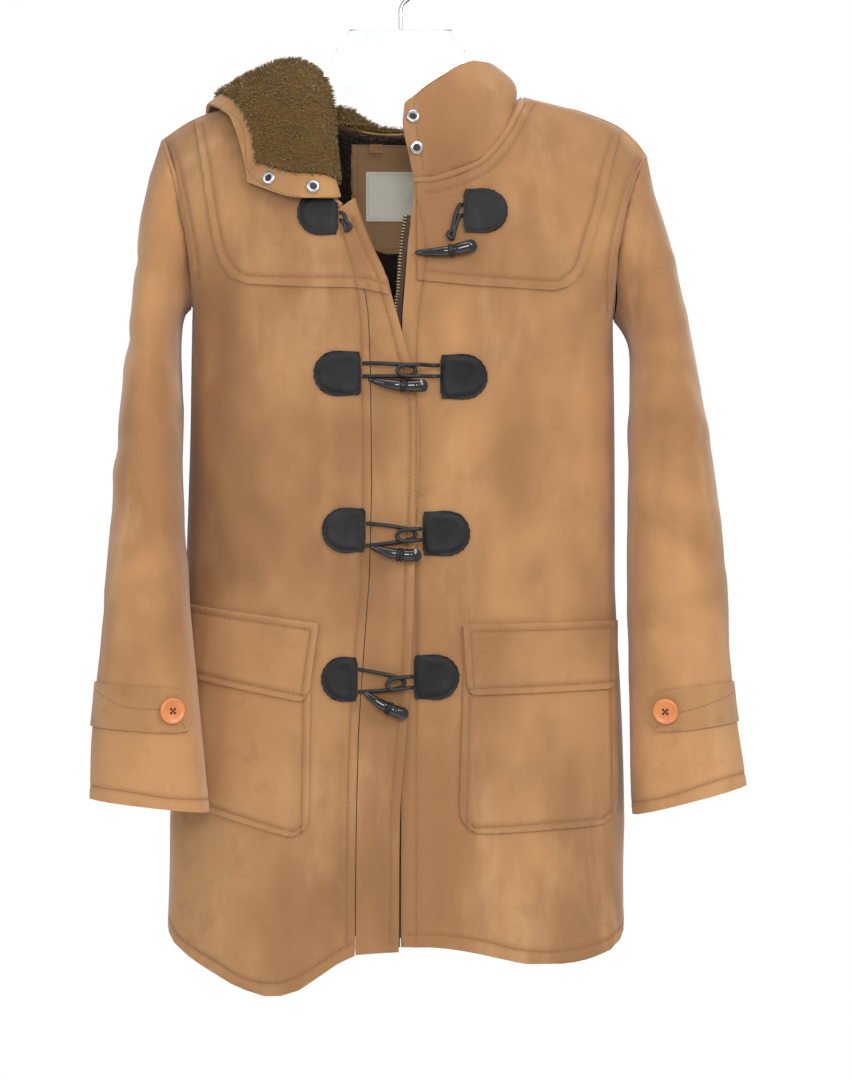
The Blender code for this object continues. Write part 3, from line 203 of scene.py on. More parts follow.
# Fastenings, top to bottom, as in the CAD: middle x, z of each patch, its width; where each
# loop starts (z) and ends (x, z), half its width at the patch, its height; the toggle.
CLOSURES = [
    dict(r=(-76, -251), l=(79, -249), width_r=38, width_l=41,
         from_r=-255, from_l=-249, loop_r=(-45, -264), loop_l=(44, -271), gap_r=3.5, gap_l=5,
         height_r=4.9, height_l=5.1, tip=(14, -288), end=(66, -282), rests=(2.8, 2.8)),
    dict(r=(-58, -399), l=(59, -402), width_r=44, width_l=44,
         from_r=-396, from_l=-397, loop_r=(14, -397), loop_l=(-2, -397), gap_r=6, gap_l=5,
         height_r=4.6, height_l=9.25, tip=(-29, -405), end=(21, -411), rests=(6.0, 0.7)),
    dict(r=(-52, -543), l=(43, -546), width_r=40, width_l=44,
         from_r=-547, from_l=-547, loop_r=(14, -547), loop_l=(-3, -548), gap_r=10, gap_l=5,
         height_r=4.6, height_l=9.25, tip=(-27, -558), end=(15, -566), rests=(7.0, 0.7)),
    dict(r=(-56, -680), l=(34, -678), width_r=34, width_l=42,
         from_r=-681, from_l=-682, loop_r=(4, -683), loop_l=(-12, -684), gap_r=10, gap_l=5,
         height_r=4.6, height_l=9.25, tip=(-33, -691), end=(3, -711), rests=(7.0, 0.7)),
]
PATCH_HEIGHT = 42.0
PATCH_ROW = 2.6           # from a patch's edge to its stitching, and the pitch of that
CORD_RADIUS = 1.9
LOOP_TURN, LOOP_HALF = 4.2, 4.4         # a cord's bend at its far end: along the loop, across it
# A toggle from its tip to its wide end: share of its length, radius.
TOGGLE = [(0, 0), (0.005, 1.1), (0.03, 2.1), (0.12, 3.0), (0.3, 4.2), (0.5, 5.0), (0.56, 5.1),
          (0.6, 4.5), (0.66, 4.5), (0.7, 5.4), (0.85, 5.9), (0.96, 6.0), (0.99, 5.6), (1, 4.6),
          (1, 0)]
TOGGLE_WAIST = 0.63       # where its cord is wound, as a share of its length
# Half sections of a button and a snap: radius, height.
BUTTON = [(0, 0), (9.6, 0), (11.4, 0.6), (12, 1.5), (11.8, 2.7), (10.9, 3.6), (9.8, 3.7),
          (8.8, 3.0), (7.6, 2.6), (0, 2.6)]
SNAP = [(0, 0), (5.6, 0), (6.3, 0.5), (6.3, 1.1), (5.7, 1.9), (4.7, 2.3), (3.7, 2.3), (3.1, 1.7),
        (2.8, 0.9), (0, 0.8)]
ZIP_EDGE = [(14, -222), (11, -253), (7, -282), (4, -324), (2, -348), (2, -520), (1, -925)]
TOOTH_PITCH = 2.9
STRIP_HALF, STRIP_STRETCH = 1.2, 7.5    # side strip: half its thickness, width to thickness
ARMHOLE_HALF = 50.6                     # half the armhole from front to back
# The body's side edges by height, the shoulder line, and the neck edge of each front.
SIDES = [(-174, -225, 232), (-190, -219, 232), (-210, -212, 221), (-240, -205, 211),
         (-284, -197, 202), (-316, -195, 200), (-345, -197, 200), (-450, -198, 202),
         (-600, -203, 202), (-700, -210, 208), (-790, -217, 211), (-850, -218, 211),
         (-885, -218, 208), (-912, -220, 210)]
SHOULDER = [(-225, -174), (-196, -155), (-165, -144), (-140, -139), (-114, -134.5),
            (120, -134.5), (149, -142), (170, -147), (203, -160), (222, -176), (232, -190)]
NECK_L = [(14, -222), (32, -221), (54, -214), (74, -205), (89, -190), (102, -170), (111, -151),
          (117, -134)]
NECK_R = [(-55, -246), (-72, -230), (-88, -205), (-100, -178), (-107, -154), (-110, -134)]

# Half-moon facing: its middle x, half its width, top, where its curve starts, the curve's drop.
FACING_X, FACING_HALF = -10, 38
FACING_TOP, FACING_BEND, FACING_DROP = -172, -232, 44
FACING_CENTRE = -222.0
LABEL_RING = [(-31.5, -199.5), (12.5, -199.5), (12.5, -241.5), (-31.5, -241.5), (-31.5, -199.5)]

# The hanger's hook: radius of its wire, radius of its bend, and the run of its shaft.
HOOK_WIRE = 2.0
HOOK_REACH = 20.0
HOOK_FOOT = [(0, 0, -69.6), (0, 0, -60), (0, 0, -52), (2.5, 0, -45), (9, 0, -39.5)]

MADE = {}                 # pieces by name
FINISHES = {}             # materials by name


def node_tree(names):
    """A tree of the triangles of some CAD nodes."""
    points, faces = [], []
    for name in names:
        shape = bmesh.new()
        shape.from_mesh(LOADED[name].data)
        bmesh.ops.triangulate(shape, faces=shape.faces)
        first = len(points)
        points += [v.co.copy() for v in shape.verts]
        faces += [[v.index + first for v in face.verts] for face in shape.faces]
        shape.free()
    return BVHTree.FromPolygons(points, faces)


def run_along(points):
    """How far along a line each of its points lies."""
    return np.concatenate([[0], np.cumsum(np.linalg.norm(np.diff(points, axis=0), axis=1))])


def through(points, fractions):
    """Points at fractions of the length of a smooth curve through a few points."""
    knots = np.array(points, float)
    if len(knots) > 2:
        ring = np.vstack([2 * knots[0] - knots[1], knots, 2 * knots[-1] - knots[-2]])
        dense = []
        for i in range(1, len(ring) - 2):
            a, b, c, d = ring[i - 1:i + 3]
            for t in np.linspace(0, 1, 12, endpoint=False):
                dense.append(0.5 * (2 * b + (c - a) * t + (2 * a - 5 * b + 4 * c - d) * t ** 2
                                    + (3 * b - a - 3 * c + d) * t ** 3))
        knots = np.array(dense + [knots[-1]])
    length = run_along(knots)
    places = np.asarray(fractions) * length[-1]
    return np.stack([np.interp(places, length, knots[:, k]) for k in range(knots.shape[1])], -1)


def spaced(points, step):
    """Points a step apart along a smooth curve."""
    rough = through(points, np.linspace(0, 1, 200))
    length = np.linalg.norm(np.diff(rough, axis=0), axis=1).sum()
    return through(points, np.linspace(0, 1, max(int(length / step), 2) + 1))


def creases(x, z, table):
    """Soft ridges and troughs along short lines, in millimetres."""
    total = np.zeros_like(x)
    for x0, z0, x1, z1, half_width, height in table:
        line = np.array([x1 - x0, z1 - z0], float)
        along = ((x - x0) * line[0] + (z - z0) * line[1]) / line.dot(line)
        near = np.clip(along, 0, 1)
        away = np.hypot(x - x0 - near * line[0], z - z0 - near * line[1])
        ends = np.clip(np.minimum(along + 0.3, 1.3 - along) / 0.5, 0, 1)
        total += height * np.exp(-(away / half_width) ** 2) * ends
    return total


def waves(points, scale, seed):
    """Smooth noise between -1 and 1 at points in millimetres."""
    shift = Vector((seed * 17.3, seed * 5.1, seed * 9.7))
    return np.array([noise.noise(Vector(p) / scale + shift) for p in points])


def sleeve_axis(side):
    """Heights, with the middle of the sleeve's x and y there, in millimetres."""
    names = (f"sleeve_top_{side}", f"sleeve_under_{side}")
    spots = np.array([v.co for name in names for v in LOADED[name].data.vertices]) / MM
    rows = []
    for low in np.arange(-800, -200, 50):
        near = spots[(spots[:, 2] >= low) & (spots[:, 2] < low + 50)]
        if len(near) > 5:
            rows.append((low + 25, *((near.min(0) + near.max(0)) / 2)[:2]))
    return np.array(rows)


def body_shift(points):
    """How the creases move points of the coat's body, in millimetres."""
    x, y, z = points.T
    front = creases(x, z, FRONT_CREASES) + 0.9 * waves(points * (1, 0, 1), 45, 1)
    back = creases(x, z, BACK_CREASES) + 0.9 * waves(points * (1, 0, 1), 45, 2)
    fade = np.clip(np.abs(y) / 40, 0, 1) ** 2 * np.clip((-150 - z) / 40, 0, 1)
    shift = np.zeros_like(points)
    shift[:, 1] = np.where(y < 0, -front, back) * fade * bpy.context.scene.coat_cloth.depth
    return shift


def sleeve_shift(side):
    """How the creases move points of a sleeve: out from or in towards its axis."""
    axis = sleeve_axis(side)

    def shift(points):
        x, y, z = points.T
        out_x = x - np.interp(z, axis[:, 0], axis[:, 1])
        out_y = y - np.interp(z, axis[:, 0], axis[:, 2])
        angle = np.arctan2(out_x * SLEEVE_SIDES[side], -out_y)
        height = 0.8 * waves(points, 40, 3)
        for at, turn, half, span, rise, slope in SLEEVE_CREASES[side]:
            turned = (angle - math.radians(turn) + math.pi) % (2 * math.pi) - math.pi
            away = (z - at - slope * turned) / half
            height += rise * np.exp(-away ** 2 - (turned / math.radians(span)) ** 2)
        height *= np.clip((-230 - z) / 60, 0, 1) * np.clip((z + 800) / 50, 0, 1)
        height *= bpy.context.scene.coat_cloth.depth
        reach = np.maximum(np.hypot(out_x, out_y), 1)
        return np.stack([out_x / reach * height, out_y / reach * height, 0 * z], -1)
    return shift


def hood_shift(points):
    """A slow drift that rumples the hood, the same for all its layers."""
    size = 1.6 * bpy.context.scene.coat_cloth.depth
    fade = np.clip((points[:, 2] + 330) / 60, 0, 1)
    parts = [waves(points, 34, seed) * size * fade for seed in (4, 5, 6)]
    return np.stack(parts, -1)


def no_shift(points):
    """For pieces that keep the CAD's place."""
    return np.zeros_like(points)


def cell_keys(points):
    """A number for the cell that each point lies in."""
    cells = np.floor(np.asarray(points) / CELL).astype(np.int64) + 500
    return (cells[:, 0] * 1000 + cells[:, 1]) * 1000 + cells[:, 2]


def seam_finder(spots):
    """A tree of seam points, with the cells that lie on or beside them."""
    tree = KDTree(len(spots))
    for k, spot in enumerate(spots):
        tree.insert(spot, k)
    tree.balance()
    around = (-1, 0, 1)
    steps = [np.array([i, j, k]) * CELL for i in around for j in around for k in around]
    return tree, np.unique(np.concatenate([cell_keys(np.array(spots) + step) for step in steps]))


def distance_to(seams, points):
    """Distance from points to the nearest seam point, or FAR where none is near."""
    tree, cells = seams
    away = np.full(len(points), FAR)
    for k in np.nonzero(np.isin(cell_keys(points), cells))[0]:
        away[k] = tree.find(points[k])[2]
    return away


def edges_of(points, faces):
    """The ends of each edge, and the edge of each side of each face."""
    pairs = np.sort(faces[:, [[0, 1], [1, 2], [2, 0]]], axis=-1)
    keys, inverse = np.unique(pairs[..., 0] * len(points) + pairs[..., 1], return_inverse=True)
    return np.stack([keys // len(points), keys % len(points)], -1), inverse.reshape(-1, 3)


def split_edges(points, faces, longest, seams=None, reach=0.0):
    """Cut edges over a length in two, the longest first, everywhere or near the seams only."""
    for turn in range(12):
        ends, sides = edges_of(points, faces)
        size = np.linalg.norm(points[ends[:, 0]] - points[ends[:, 1]], axis=1)
        if seams is not None:
            size[distance_to(seams, points[ends].mean(1)) > reach] = 0
        peak = size.max()
        if peak <= longest:
            break
        marked = size > max(longest, 0.6 * peak)
        new = np.full(len(ends), -1)
        new[marked] = len(points) + np.arange(marked.sum())
        points = np.vstack([points, points[ends[marked]].mean(1)])
        middles = new[sides]
        count = (middles >= 0).sum(1)
        parts = [faces[count == 0]]
        for cuts in (1, 2, 3):
            face, middle = faces[count == cuts], middles[count == cuts]
            first = np.argmax(middle >= 0, 1) if cuts == 1 else (np.argmax(middle < 0, 1) + 1) % 3
            order = (np.arange(3) + (first if cuts < 3 else 0 * first)[:, None]) % 3
            a, b, c = np.take_along_axis(face, order, 1).T
            p, q, r = np.take_along_axis(middle, order, 1).T
            if cuts == 1:
                pieces = [(a, p, c), (p, b, c)]
            elif cuts == 2:
                short = (np.linalg.norm(points[a] - points[q], axis=1)
                         < np.linalg.norm(points[p] - points[c], axis=1))
                pieces = [(p, b, q), (a, np.where(short, q, p), c), (np.where(short, a, c), p, q)]
            else:
                pieces = [(a, p, r), (p, b, q), (r, q, c), (p, q, r)]
            parts += [np.stack(piece, -1) for piece in pieces]
        faces = np.vstack(parts)
    return points, faces


def unit_rows(rows):
    """Vectors brought to length one."""
    return rows / (np.linalg.norm(rows, axis=1, keepdims=True) + 1e-12)


def face_crosses(points, faces):
    """Normals of triangles, twice their area long."""
    a, b, c = (points[faces[:, k]] for k in range(3))
    return np.cross(b - a, c - a)


def face_normals(points, faces):
    """Unit normals of triangles."""
    return unit_rows(face_crosses(points, faces))


def point_normals(points, faces):
    """Unit normals of points, weighted by area."""
    normal = face_crosses(points, faces)
    total = np.zeros_like(points)
    for k in range(3):
        np.add.at(total, faces[:, k], normal)
    return unit_rows(total)


def settle(points, faces, turns):
    """Even out facets: inner points, then the points along each cut edge."""
    ends, sides = edges_of(points, faces)
    normal = face_normals(points, faces)
    first, last = np.full(len(ends), -1), np.full(len(ends), -1)
    for k in range(3):
        last[sides[:, k]] = np.arange(len(faces))
    for k in (2, 1, 0):
        other = last[sides[:, k]] != np.arange(len(faces))
        first[sides[other, k]] = np.nonzero(other)[0]
    lone = first < 0
    cosine = (normal[first] * normal[last]).sum(1)
    sharp = lone | (cosine < math.cos(math.radians(48)))
    rim = np.bincount(ends[sharp].ravel(), minlength=len(points))
    for chosen, free, reach, rounds in ((ends, rim == 0, 9.0, turns),
                                        (ends[sharp], rim == 2, 1.2, 6)):
        count = np.maximum(np.bincount(chosen.ravel(), minlength=len(points)), 1)[:, None]
        for turn in range(rounds):
            mean = np.stack([
                np.bincount(chosen[:, 0], points[chosen[:, 1], k], len(points))
                + np.bincount(chosen[:, 1], points[chosen[:, 0], k], len(points))
                for k in range(3)], -1)
            step = mean / count - points
            move = free & (np.linalg.norm(step, axis=1) < reach)
            points[move] += 0.5 * step[move]
    return points


def merged(node):
    """Points and triangles of a CAD node in millimetres, with its split points joined."""
    mesh = LOADED[node].data
    mesh.calc_loop_triangles()
    points = np.array([v.co for v in mesh.vertices]) / MM
    faces = np.array([t.vertices for t in mesh.loop_triangles])
    first, inverse = np.unique(np.round(points, 3), axis=0, return_index=True,
                               return_inverse=True)[1:]
    return points[first], inverse.reshape(-1)[faces]


def detailed(name, node, shift, edge=10.0, turns=8, seams=None, lining=None):
    """A finer copy of a CAD node: evened out, creased, and sunk along its stitching."""
    points, faces = split_edges(*merged(node), edge)
    points = settle(points, faces, turns)
    if seams is not None:
        for longest in (5.0, 3.2):
            points, faces = split_edges(points, faces, longest, seams, SEAM_REACH + longest)
    moved = points + shift(points)
    near = np.zeros(len(points))
    if seams is not None:
        away = distance_to(seams, points)
        near = np.exp(-(away / SEAM_SHADE) ** 2)
        groove = (np.exp(-(away / GROOVE_HALF) ** 2)
                  - 0.5 * np.exp(-((away - SEAM_WELT) / 2.4) ** 2))
        depth = bpy.context.scene.coat_cloth.groove / MM
        moved -= point_normals(points, faces) * groove[:, None] * depth
    if lining is not None:
        inner = lining(moved[faces].mean(1), face_normals(moved, faces))
        outer = np.bincount(faces[~inner].ravel(), minlength=len(moved)) > 0
        moved[~outer] += LINING_EASE * point_normals(moved, faces)[~outer]
    mesh = bpy.data.meshes.new(name)
    mesh.from_pydata((moved * MM).tolist(), [], faces.tolist())
    if lining is not None:
        mesh.polygons.foreach_set("material_index", inner.astype(int))
    # How near each point lies to the stitching, read by the suede shader to paint shade along the
    # seams.
    mesh.attributes.new("seam", "FLOAT", "POINT").data.foreach_set("value", near)
    mesh.shade_smooth()
    mesh.set_sharp_from_angle(angle=math.radians(62))
    return bpy.data.objects.new(name, mesh)


def add_mesh(name, points, faces, smooth=True):
    """An object from points in millimetres."""
    mesh = bpy.data.meshes.new(name)
    mesh.from_pydata([tuple(float(c) * MM for c in p) for p in points], [], faces)
    mesh.update()
    if smooth:
        mesh.shade_smooth()
        mesh.set_sharp_from_angle(angle=math.radians(45))
    return bpy.data.objects.new(name, mesh)


def place_piece(piece, finishes, nodes=()):
    """Show a piece, give it its finishes, hang it from the root, and hide the CAD nodes it stands
    for.
    """
    bpy.context.scene.collection.objects.link(piece)
    for name in (finishes,) if isinstance(finishes, str) else finishes:
        piece.data.materials.append(FINISHES[name])
    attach(piece, "root")
    if nodes:
        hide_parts(*nodes)
    MADE[piece.name] = piece
    return piece


def tree_of(*names):
    """A tree of made pieces, in metres."""
    points, faces = [], []
    for name in names:
        mesh = MADE[name].data
        first = len(points)
        points += [v.co.copy() for v in mesh.vertices]
        faces += [[k + first for k in polygon.vertices] for polygon in mesh.polygons]
    return BVHTree.FromPolygons(points, faces)


def seen_from(tree, x, z, side=-1):
    """Where a line along Y first meets a tree from the front (-1) or the back (1)."""
    hit = tree.ray_cast(Vector((x * MM, side * 0.6, z * MM)), Vector((0, -side, 0)))
    if hit[0] is None:
        return None
    return np.array(hit[0]) / MM, np.array(hit[1])


def seam_tree(rows, tree, side=-1):
    """Points 1 mm apart along rows of stitching, as they lie on a surface."""
    spots = []
    for row in rows:
        for x, z in spaced(row, 1.0):
            hit = seen_from(tree, x, z, side)
            if hit is not None:
                spots.append(hit[0])
    return seam_finder(spots)


def stitched(rows, tree, side, pitch, length):
    """Short rounded stitches along rows, each half sunk in the surface."""
    sewn = []
    for row in rows:
        line = spaced(row, pitch)
        for k in range(len(line) - 1):
            hit = seen_from(tree, *((line[k] + line[k + 1]) / 2), side)
            if hit is None:
                continue
            run = np.array([line[k + 1][0] - line[k][0], 0, line[k + 1][1] - line[k][1]])
            normal = hit[1] * (-1 if hit[1][1] * side < 0 else 1)
            run -= normal * run.dot(normal)
            sewn.append((hit[0], run / max(np.linalg.norm(run), 1e-6), normal, length))
    return sewn


def thread_mesh(name, sewn, radius=0.42):
    """One mesh of all the stitches of a row of seams."""
    points, faces = [], []
    for centre, run, normal, length in sewn:
        across = np.cross(run, normal)
        first = len(points)
        for share, wide in ((-0.5, 0.45), (-0.3, 1), (0.3, 1), (0.5, 0.45)):
            lift = 0.25 - 0.5 * abs(share) ** 2 - (0.3 if abs(share) > 0.4 else 0)
            middle = centre + run * length * share + normal * lift * radius * 1.6
            for k in range(6):
                turn = math.pi * k / 3
                points.append(middle + radius * wide * (math.cos(turn) * across
                                                        + 0.8 * math.sin(turn) * normal))
        for ring in range(3):
            low = first + 6 * ring
            for k in range(6):
                m = (k + 1) % 6
                faces.append((low + k, low + m, low + 6 + m, low + 6 + k))
        faces.append(tuple(first + k for k in range(5, -1, -1)))
        faces.append(tuple(first + 18 + k for k in range(6)))
    return add_mesh(name, points, faces)


def rounded_corner(corner, before, after, radius):
    """Points of a rounded corner."""
    corner, before, after = (np.array(p, float) for p in (corner, before, after))
    start = corner + (before - corner) / np.linalg.norm(before - corner) * radius
    end = corner + (after - corner) / np.linalg.norm(after - corner) * radius
    return [tuple((1 - t) ** 2 * start + 2 * t * (1 - t) * corner + t ** 2 * end)
            for t in np.linspace(0, 1, 6)]


def pocket_rows(node):
    """The stitching inside the edge of a pocket, and also along the top of a flap."""
    tl, tr, bl, br = np.array(POCKETS[node][:4], float)
    inset = POCKET_INSET
    down_l, down_r = (bl - tl) / np.linalg.norm(bl - tl), (br - tr) / np.linalg.norm(br - tr)
    along = (tr - tl) / np.linalg.norm(tr - tl)
    tl, tr = tl + along * inset + down_l * inset, tr - along * inset + down_r * inset
    bl, br = bl + along * inset - down_l * inset, br - along * inset - down_r * inset
    radius = max(POCKETS[node][4] - inset, 3)
    line = [tuple(tl)] + rounded_corner(bl, tl, br, radius) + rounded_corner(br, bl, tr, radius)
    line.append(tuple(tr))
    return [line, [tuple(tl), tuple(tr)]] if "flap" in node else [line]


def frame_across(axis):
    """A unit axis and two unit vectors across it."""
    axis = np.asarray(axis, float) / np.linalg.norm(axis)
    guide = np.array([0, 0, 1.0]) if abs(axis[2]) < 0.9 else np.array([1.0, 0, 0])
    right = np.cross(guide, axis)
    right /= np.linalg.norm(right)
    return axis, right, np.cross(axis, right)


def ring_faces(rings):
    """Faces that join rings of points; a ring of one is a pole."""
    faces = []
    for low, high in zip(rings, rings[1:]):
        count = max(len(low), len(high))
        for k in range(count):
            m = (k + 1) % count
            if len(low) == 1:
                faces.append((low[0], high[m], high[k]))
            elif len(high) == 1:
                faces.append((low[k], low[m], high[0]))
            else:
                faces.append((low[k], low[m], high[m], high[k]))
    for ring, turn in ((rings[0], -1), (rings[-1], 1)):
        if len(ring) > 1:
            faces.append(tuple(ring[::turn]))
    return faces


def joined(parts):
    """One set of points and faces from several."""
    points, faces = [], []
    for more, sides in parts:
        faces += [tuple(k + len(points) for k in side) for side in sides]
        points += more
    return points, faces


def turned(centre, axis, profile, sides):
    """Points and faces of a turned piece; its profile is height along the axis, radius."""
    axis, right, up = frame_across(axis)
    points, rings = [], []
    for height, radius in profile:
        count = sides if radius else 1
        rings.append([len(points) + k for k in range(count)])
        for k in range(count):
            turn = 2 * math.pi * k / sides
            around = math.cos(turn) * right + math.sin(turn) * up
            points.append(np.asarray(centre) + axis * height + radius * around)
    return points, ring_faces(rings)


def swept(path, radius, sides):
    """Points and faces of a round rod; radius takes the run and the turn about it."""
    path = np.array(path, float)
    tangents = np.gradient(path, axis=0)
    run = run_along(path)
    right = frame_across(tangents[0])[1]
    points, rings = [], []
    for k, spot in enumerate(path):
        axis = tangents[k] / np.linalg.norm(tangents[k])
        right = right - axis * right.dot(axis)
        right /= np.linalg.norm(right)
        up = np.cross(axis, right)
        rings.append([len(points) + j for j in range(sides)])
        for j in range(sides):
            turn = 2 * math.pi * j / sides
            size = radius(run[k], turn)
            points.append(spot + size * (math.cos(turn) * right + math.sin(turn) * up))
    return points, ring_faces(rings)


def is_open(centres, normals, trees):
    """1 for faces with nothing close in front of them, 0 for the rest."""
    hits = [all(tree.ray_cast(Vector(centre + 0.05 * way) * MM, Vector(way), 7 * MM)[0] is None
                for tree in trees) for centre, way in zip(centres, normals)]
    return np.array(hits, float)


def tufts(surface, count, length, width, lean, seed, trees):
    """Three-sided tapered tufts of fur that cover a mesh, each bent the way the pile lies."""
    rng = np.random.default_rng(seed)
    mesh = surface.data
    mesh.calc_loop_triangles()
    corners = np.array([t.vertices for t in mesh.loop_triangles])
    place = np.array([v.co for v in mesh.vertices]) / MM
    rise = np.array([v.normal for v in mesh.vertices])
    a, b, c = place[corners[:, 0]], place[corners[:, 1]], place[corners[:, 2]]
    flat = np.cross(b - a, c - a)
    area = np.linalg.norm(flat, axis=1) / 2
    area = area * is_open((a + b + c) / 3, flat / (2 * area[:, None] + 1e-9), trees)
    chosen = rng.choice(len(area), count, p=area / area.sum())
    u, v = rng.random(count), rng.random(count)
    over = u + v > 1
    u[over], v[over] = 1 - u[over], 1 - v[over]
    weights = np.stack([1 - u - v, u, v], -1)[..., None]
    root = (place[corners[chosen]] * weights).sum(1)
    normal = (rise[corners[chosen]] * weights).sum(1)
    normal /= np.linalg.norm(normal, axis=1, keepdims=True)
    clump = np.stack([waves(root, 9, seed + k) for k in range(3)], -1)
    way = np.array(lean) + 0.9 * clump + 0.35 * rng.normal(size=(count, 3))
    way -= normal * (way * normal).sum(1, keepdims=True)
    size = length * (0.7 + 0.3 * rng.random(count) + 0.25 * clump[:, 0])[:, None]
    across = np.cross(normal, way)
    across /= np.linalg.norm(across, axis=1, keepdims=True) + 1e-9
    other = np.cross(normal, across)
    middle = root + size * (0.5 * normal + 0.18 * way)
    tip = root + size * (0.8 * normal + 0.75 * way)
    points, wide = [], width * (0.8 + 0.4 * rng.random(count))[:, None]
    for centre, share in ((root - 0.4 * normal, 1.0), (middle, 0.8)):
        for turn in (0, 2 * math.pi / 3, 4 * math.pi / 3):
            around = math.cos(turn) * across + math.sin(turn) * other
            points.append(centre + wide * share * around)
    points = np.stack(points + [tip], 1).reshape(-1, 3)
    first = 7 * np.arange(count)[:, None]
    faces = []
    for sides in (((0, 1, 4, 3), (1, 2, 5, 4), (2, 0, 3, 5)), ((3, 4, 6), (4, 5, 6), (5, 3, 6))):
        faces += np.concatenate([first + np.array(side) for side in sides]).tolist()
    tone = np.repeat(np.clip(0.5 + 0.5 * clump[:, 1] + 0.2 * rng.normal(size=count), 0, 1), 7)
    height = np.tile([0, 0, 0, 0.6, 0.6, 0.6, 1.0], count)
    return points, faces, tone, height


def build_group(name, outputs, inputs, build):
    """A shader node group with named inputs and outputs."""
    tree = bpy.data.node_groups.new(name, "ShaderNodeTree")
    for socket, kind in outputs:
        tree.interface.new_socket(socket, in_out="OUTPUT", socket_type=kind)
    for socket, kind, value in inputs:
        tree.interface.new_socket(socket, in_out="INPUT", socket_type=kind).default_value = value
    build(tree, tree.nodes.new("NodeGroupInput").outputs, tree.nodes.new("NodeGroupOutput").inputs)
    return tree


def texture(tree, kind, scale, detail=3.0, roughness=0.5, stretch=None):
    """A noise or Voronoi texture in object space, at a scale per metre."""
    place = tree.nodes.new("ShaderNodeTexCoord").outputs["Object"]
    if stretch:
        mapping = tree.nodes.new("ShaderNodeMapping")
        mapping.inputs["Scale"].default_value = stretch
        tree.links.new(place, mapping.inputs["Vector"])
        place = mapping.outputs[0]
    node = tree.nodes.new(kind)
    tree.links.new(place, node.inputs["Vector"])
    node.inputs["Scale"].default_value = scale
    if "Detail" in node.inputs:
        node.inputs["Detail"].default_value = detail
        node.inputs["Roughness"].default_value = roughness
    return node


def ramp(tree, value, low, high):
    """A mask that rises from 0 to 1 between two values."""
    node = tree.nodes.new("ShaderNodeMapRange")
    node.interpolation_type = "SMOOTHSTEP"
    node.inputs["From Min"].default_value = low
    node.inputs["From Max"].default_value = high
    tree.links.new(value, node.inputs["Value"])
    return node.outputs["Result"]


def blend(tree, factor, a, b):
    """A mix of two colours; each is a socket or a colour."""
    node = tree.nodes.new("ShaderNodeMix")
    node.data_type = "RGBA"
    for socket, value in ((node.inputs[0], factor), (node.inputs[6], a), (node.inputs[7], b)):
        if isinstance(value, bpy.types.NodeSocket):
            tree.links.new(value, socket)
        elif isinstance(value, (int, float)):
            socket.default_value = value
        else:
            socket.default_value = (*value, 1)
    return node.outputs[2]


def sums(tree, kind, a, b):
    """Two values added, multiplied or compared."""
    node = tree.nodes.new("ShaderNodeMath")
    node.operation = kind
    for socket, value in zip(node.inputs, (a, b)):
        if isinstance(value, bpy.types.NodeSocket):
            tree.links.new(value, socket)
        else:
            socket.default_value = value
    return node.outputs[0]


def bump(tree, height, distance, strength):
    """A bump of a distance in metres."""
    node = tree.nodes.new("ShaderNodeBump")
    node.inputs["Distance"].default_value = distance
    node.inputs["Strength"].default_value = strength
    tree.links.new(height, node.inputs["Height"])
    return node.outputs[0]


def nap_group():
    """Suede: brushed patches, fine mottling, a short nap, and painted shade along the stitched
    seams.
    """
    def build(tree, given, out):
        wide = texture(tree, "ShaderNodeTexNoise", 7.0, 3, 0.6, (1.0, 1.0, 0.6)).outputs["Fac"]
        small = texture(tree, "ShaderNodeTexNoise", 42.0, 4, 0.62).outputs["Fac"]
        streak = texture(tree, "ShaderNodeTexNoise", 20.0, 4, 0.6, (1.0, 1.0, 0.3)).outputs["Fac"]
        pile = texture(tree, "ShaderNodeTexNoise", 1500.0, 3, 0.7).outputs["Fac"]
        colour = blend(tree, ramp(tree, wide, 0.36, 0.62), given["Shade"], given["Suede"])
        pale = sums(tree, "MULTIPLY", ramp(tree, streak, 0.5, 0.75), 0.55)
        colour = blend(tree, pale, colour, given["Light"])
        dark = sums(tree, "MULTIPLY", ramp(tree, small, 0.52, 0.72), 0.35)
        colour = blend(tree, dark, colour, given["Shade"])
        grain = sums(tree, "MULTIPLY", ramp(tree, pile, 0.3, 0.75), 0.22)
        colour = blend(tree, grain, colour, given["Light"])
        # Painted shade: near the stitching the suede is blended towards its darker colour, standing
        # for the shadow in the seam's groove.
        seam = tree.nodes.new("ShaderNodeAttribute")
        seam.attribute_name = "seam"
        groove_shade = sums(tree, "MULTIPLY", seam.outputs["Fac"], 0.55)
        tree.links.new(blend(tree, groove_shade, colour, given["Shade"]), out["Color"])
        mix = sums(tree, "ADD", pile, sums(tree, "MULTIPLY", small, 2.0))
        tree.links.new(bump(tree, mix, 0.00022, 0.55), out["Normal"])
    colours = [("Suede", SUEDE), ("Shade", SUEDE_DARK), ("Light", SUEDE_LIGHT)]
    return build_group("Suede nap", [("Color", "NodeSocketColor"), ("Normal", "NodeSocketVector")],
                       [(n, "NodeSocketColor", (*c, 1)) for n, c in colours], build)


def grain_group():
    """Leather or plastic: fine pebbled grain with a little dust in it."""
    def build(tree, given, out):
        cells = texture(tree, "ShaderNodeTexVoronoi", 900.0).outputs["Distance"]
        cloud = texture(tree, "ShaderNodeTexNoise", 60.0, 4).outputs["Fac"]
        tree.links.new(blend(tree, ramp(tree, cloud, 0.45, 0.75), given["Color"], given["Worn"]),
                       out["Color"])
        tree.links.new(bump(tree, cells, 0.00012, 0.6), out["Normal"])
    return build_group("Fine grain", [("Color", "NodeSocketColor"), ("Normal", "NodeSocketVector")],
                       [("Color", "NodeSocketColor", (*BLACK, 1)),
                        ("Worn", "NodeSocketColor", (*BLACK, 1))], build)


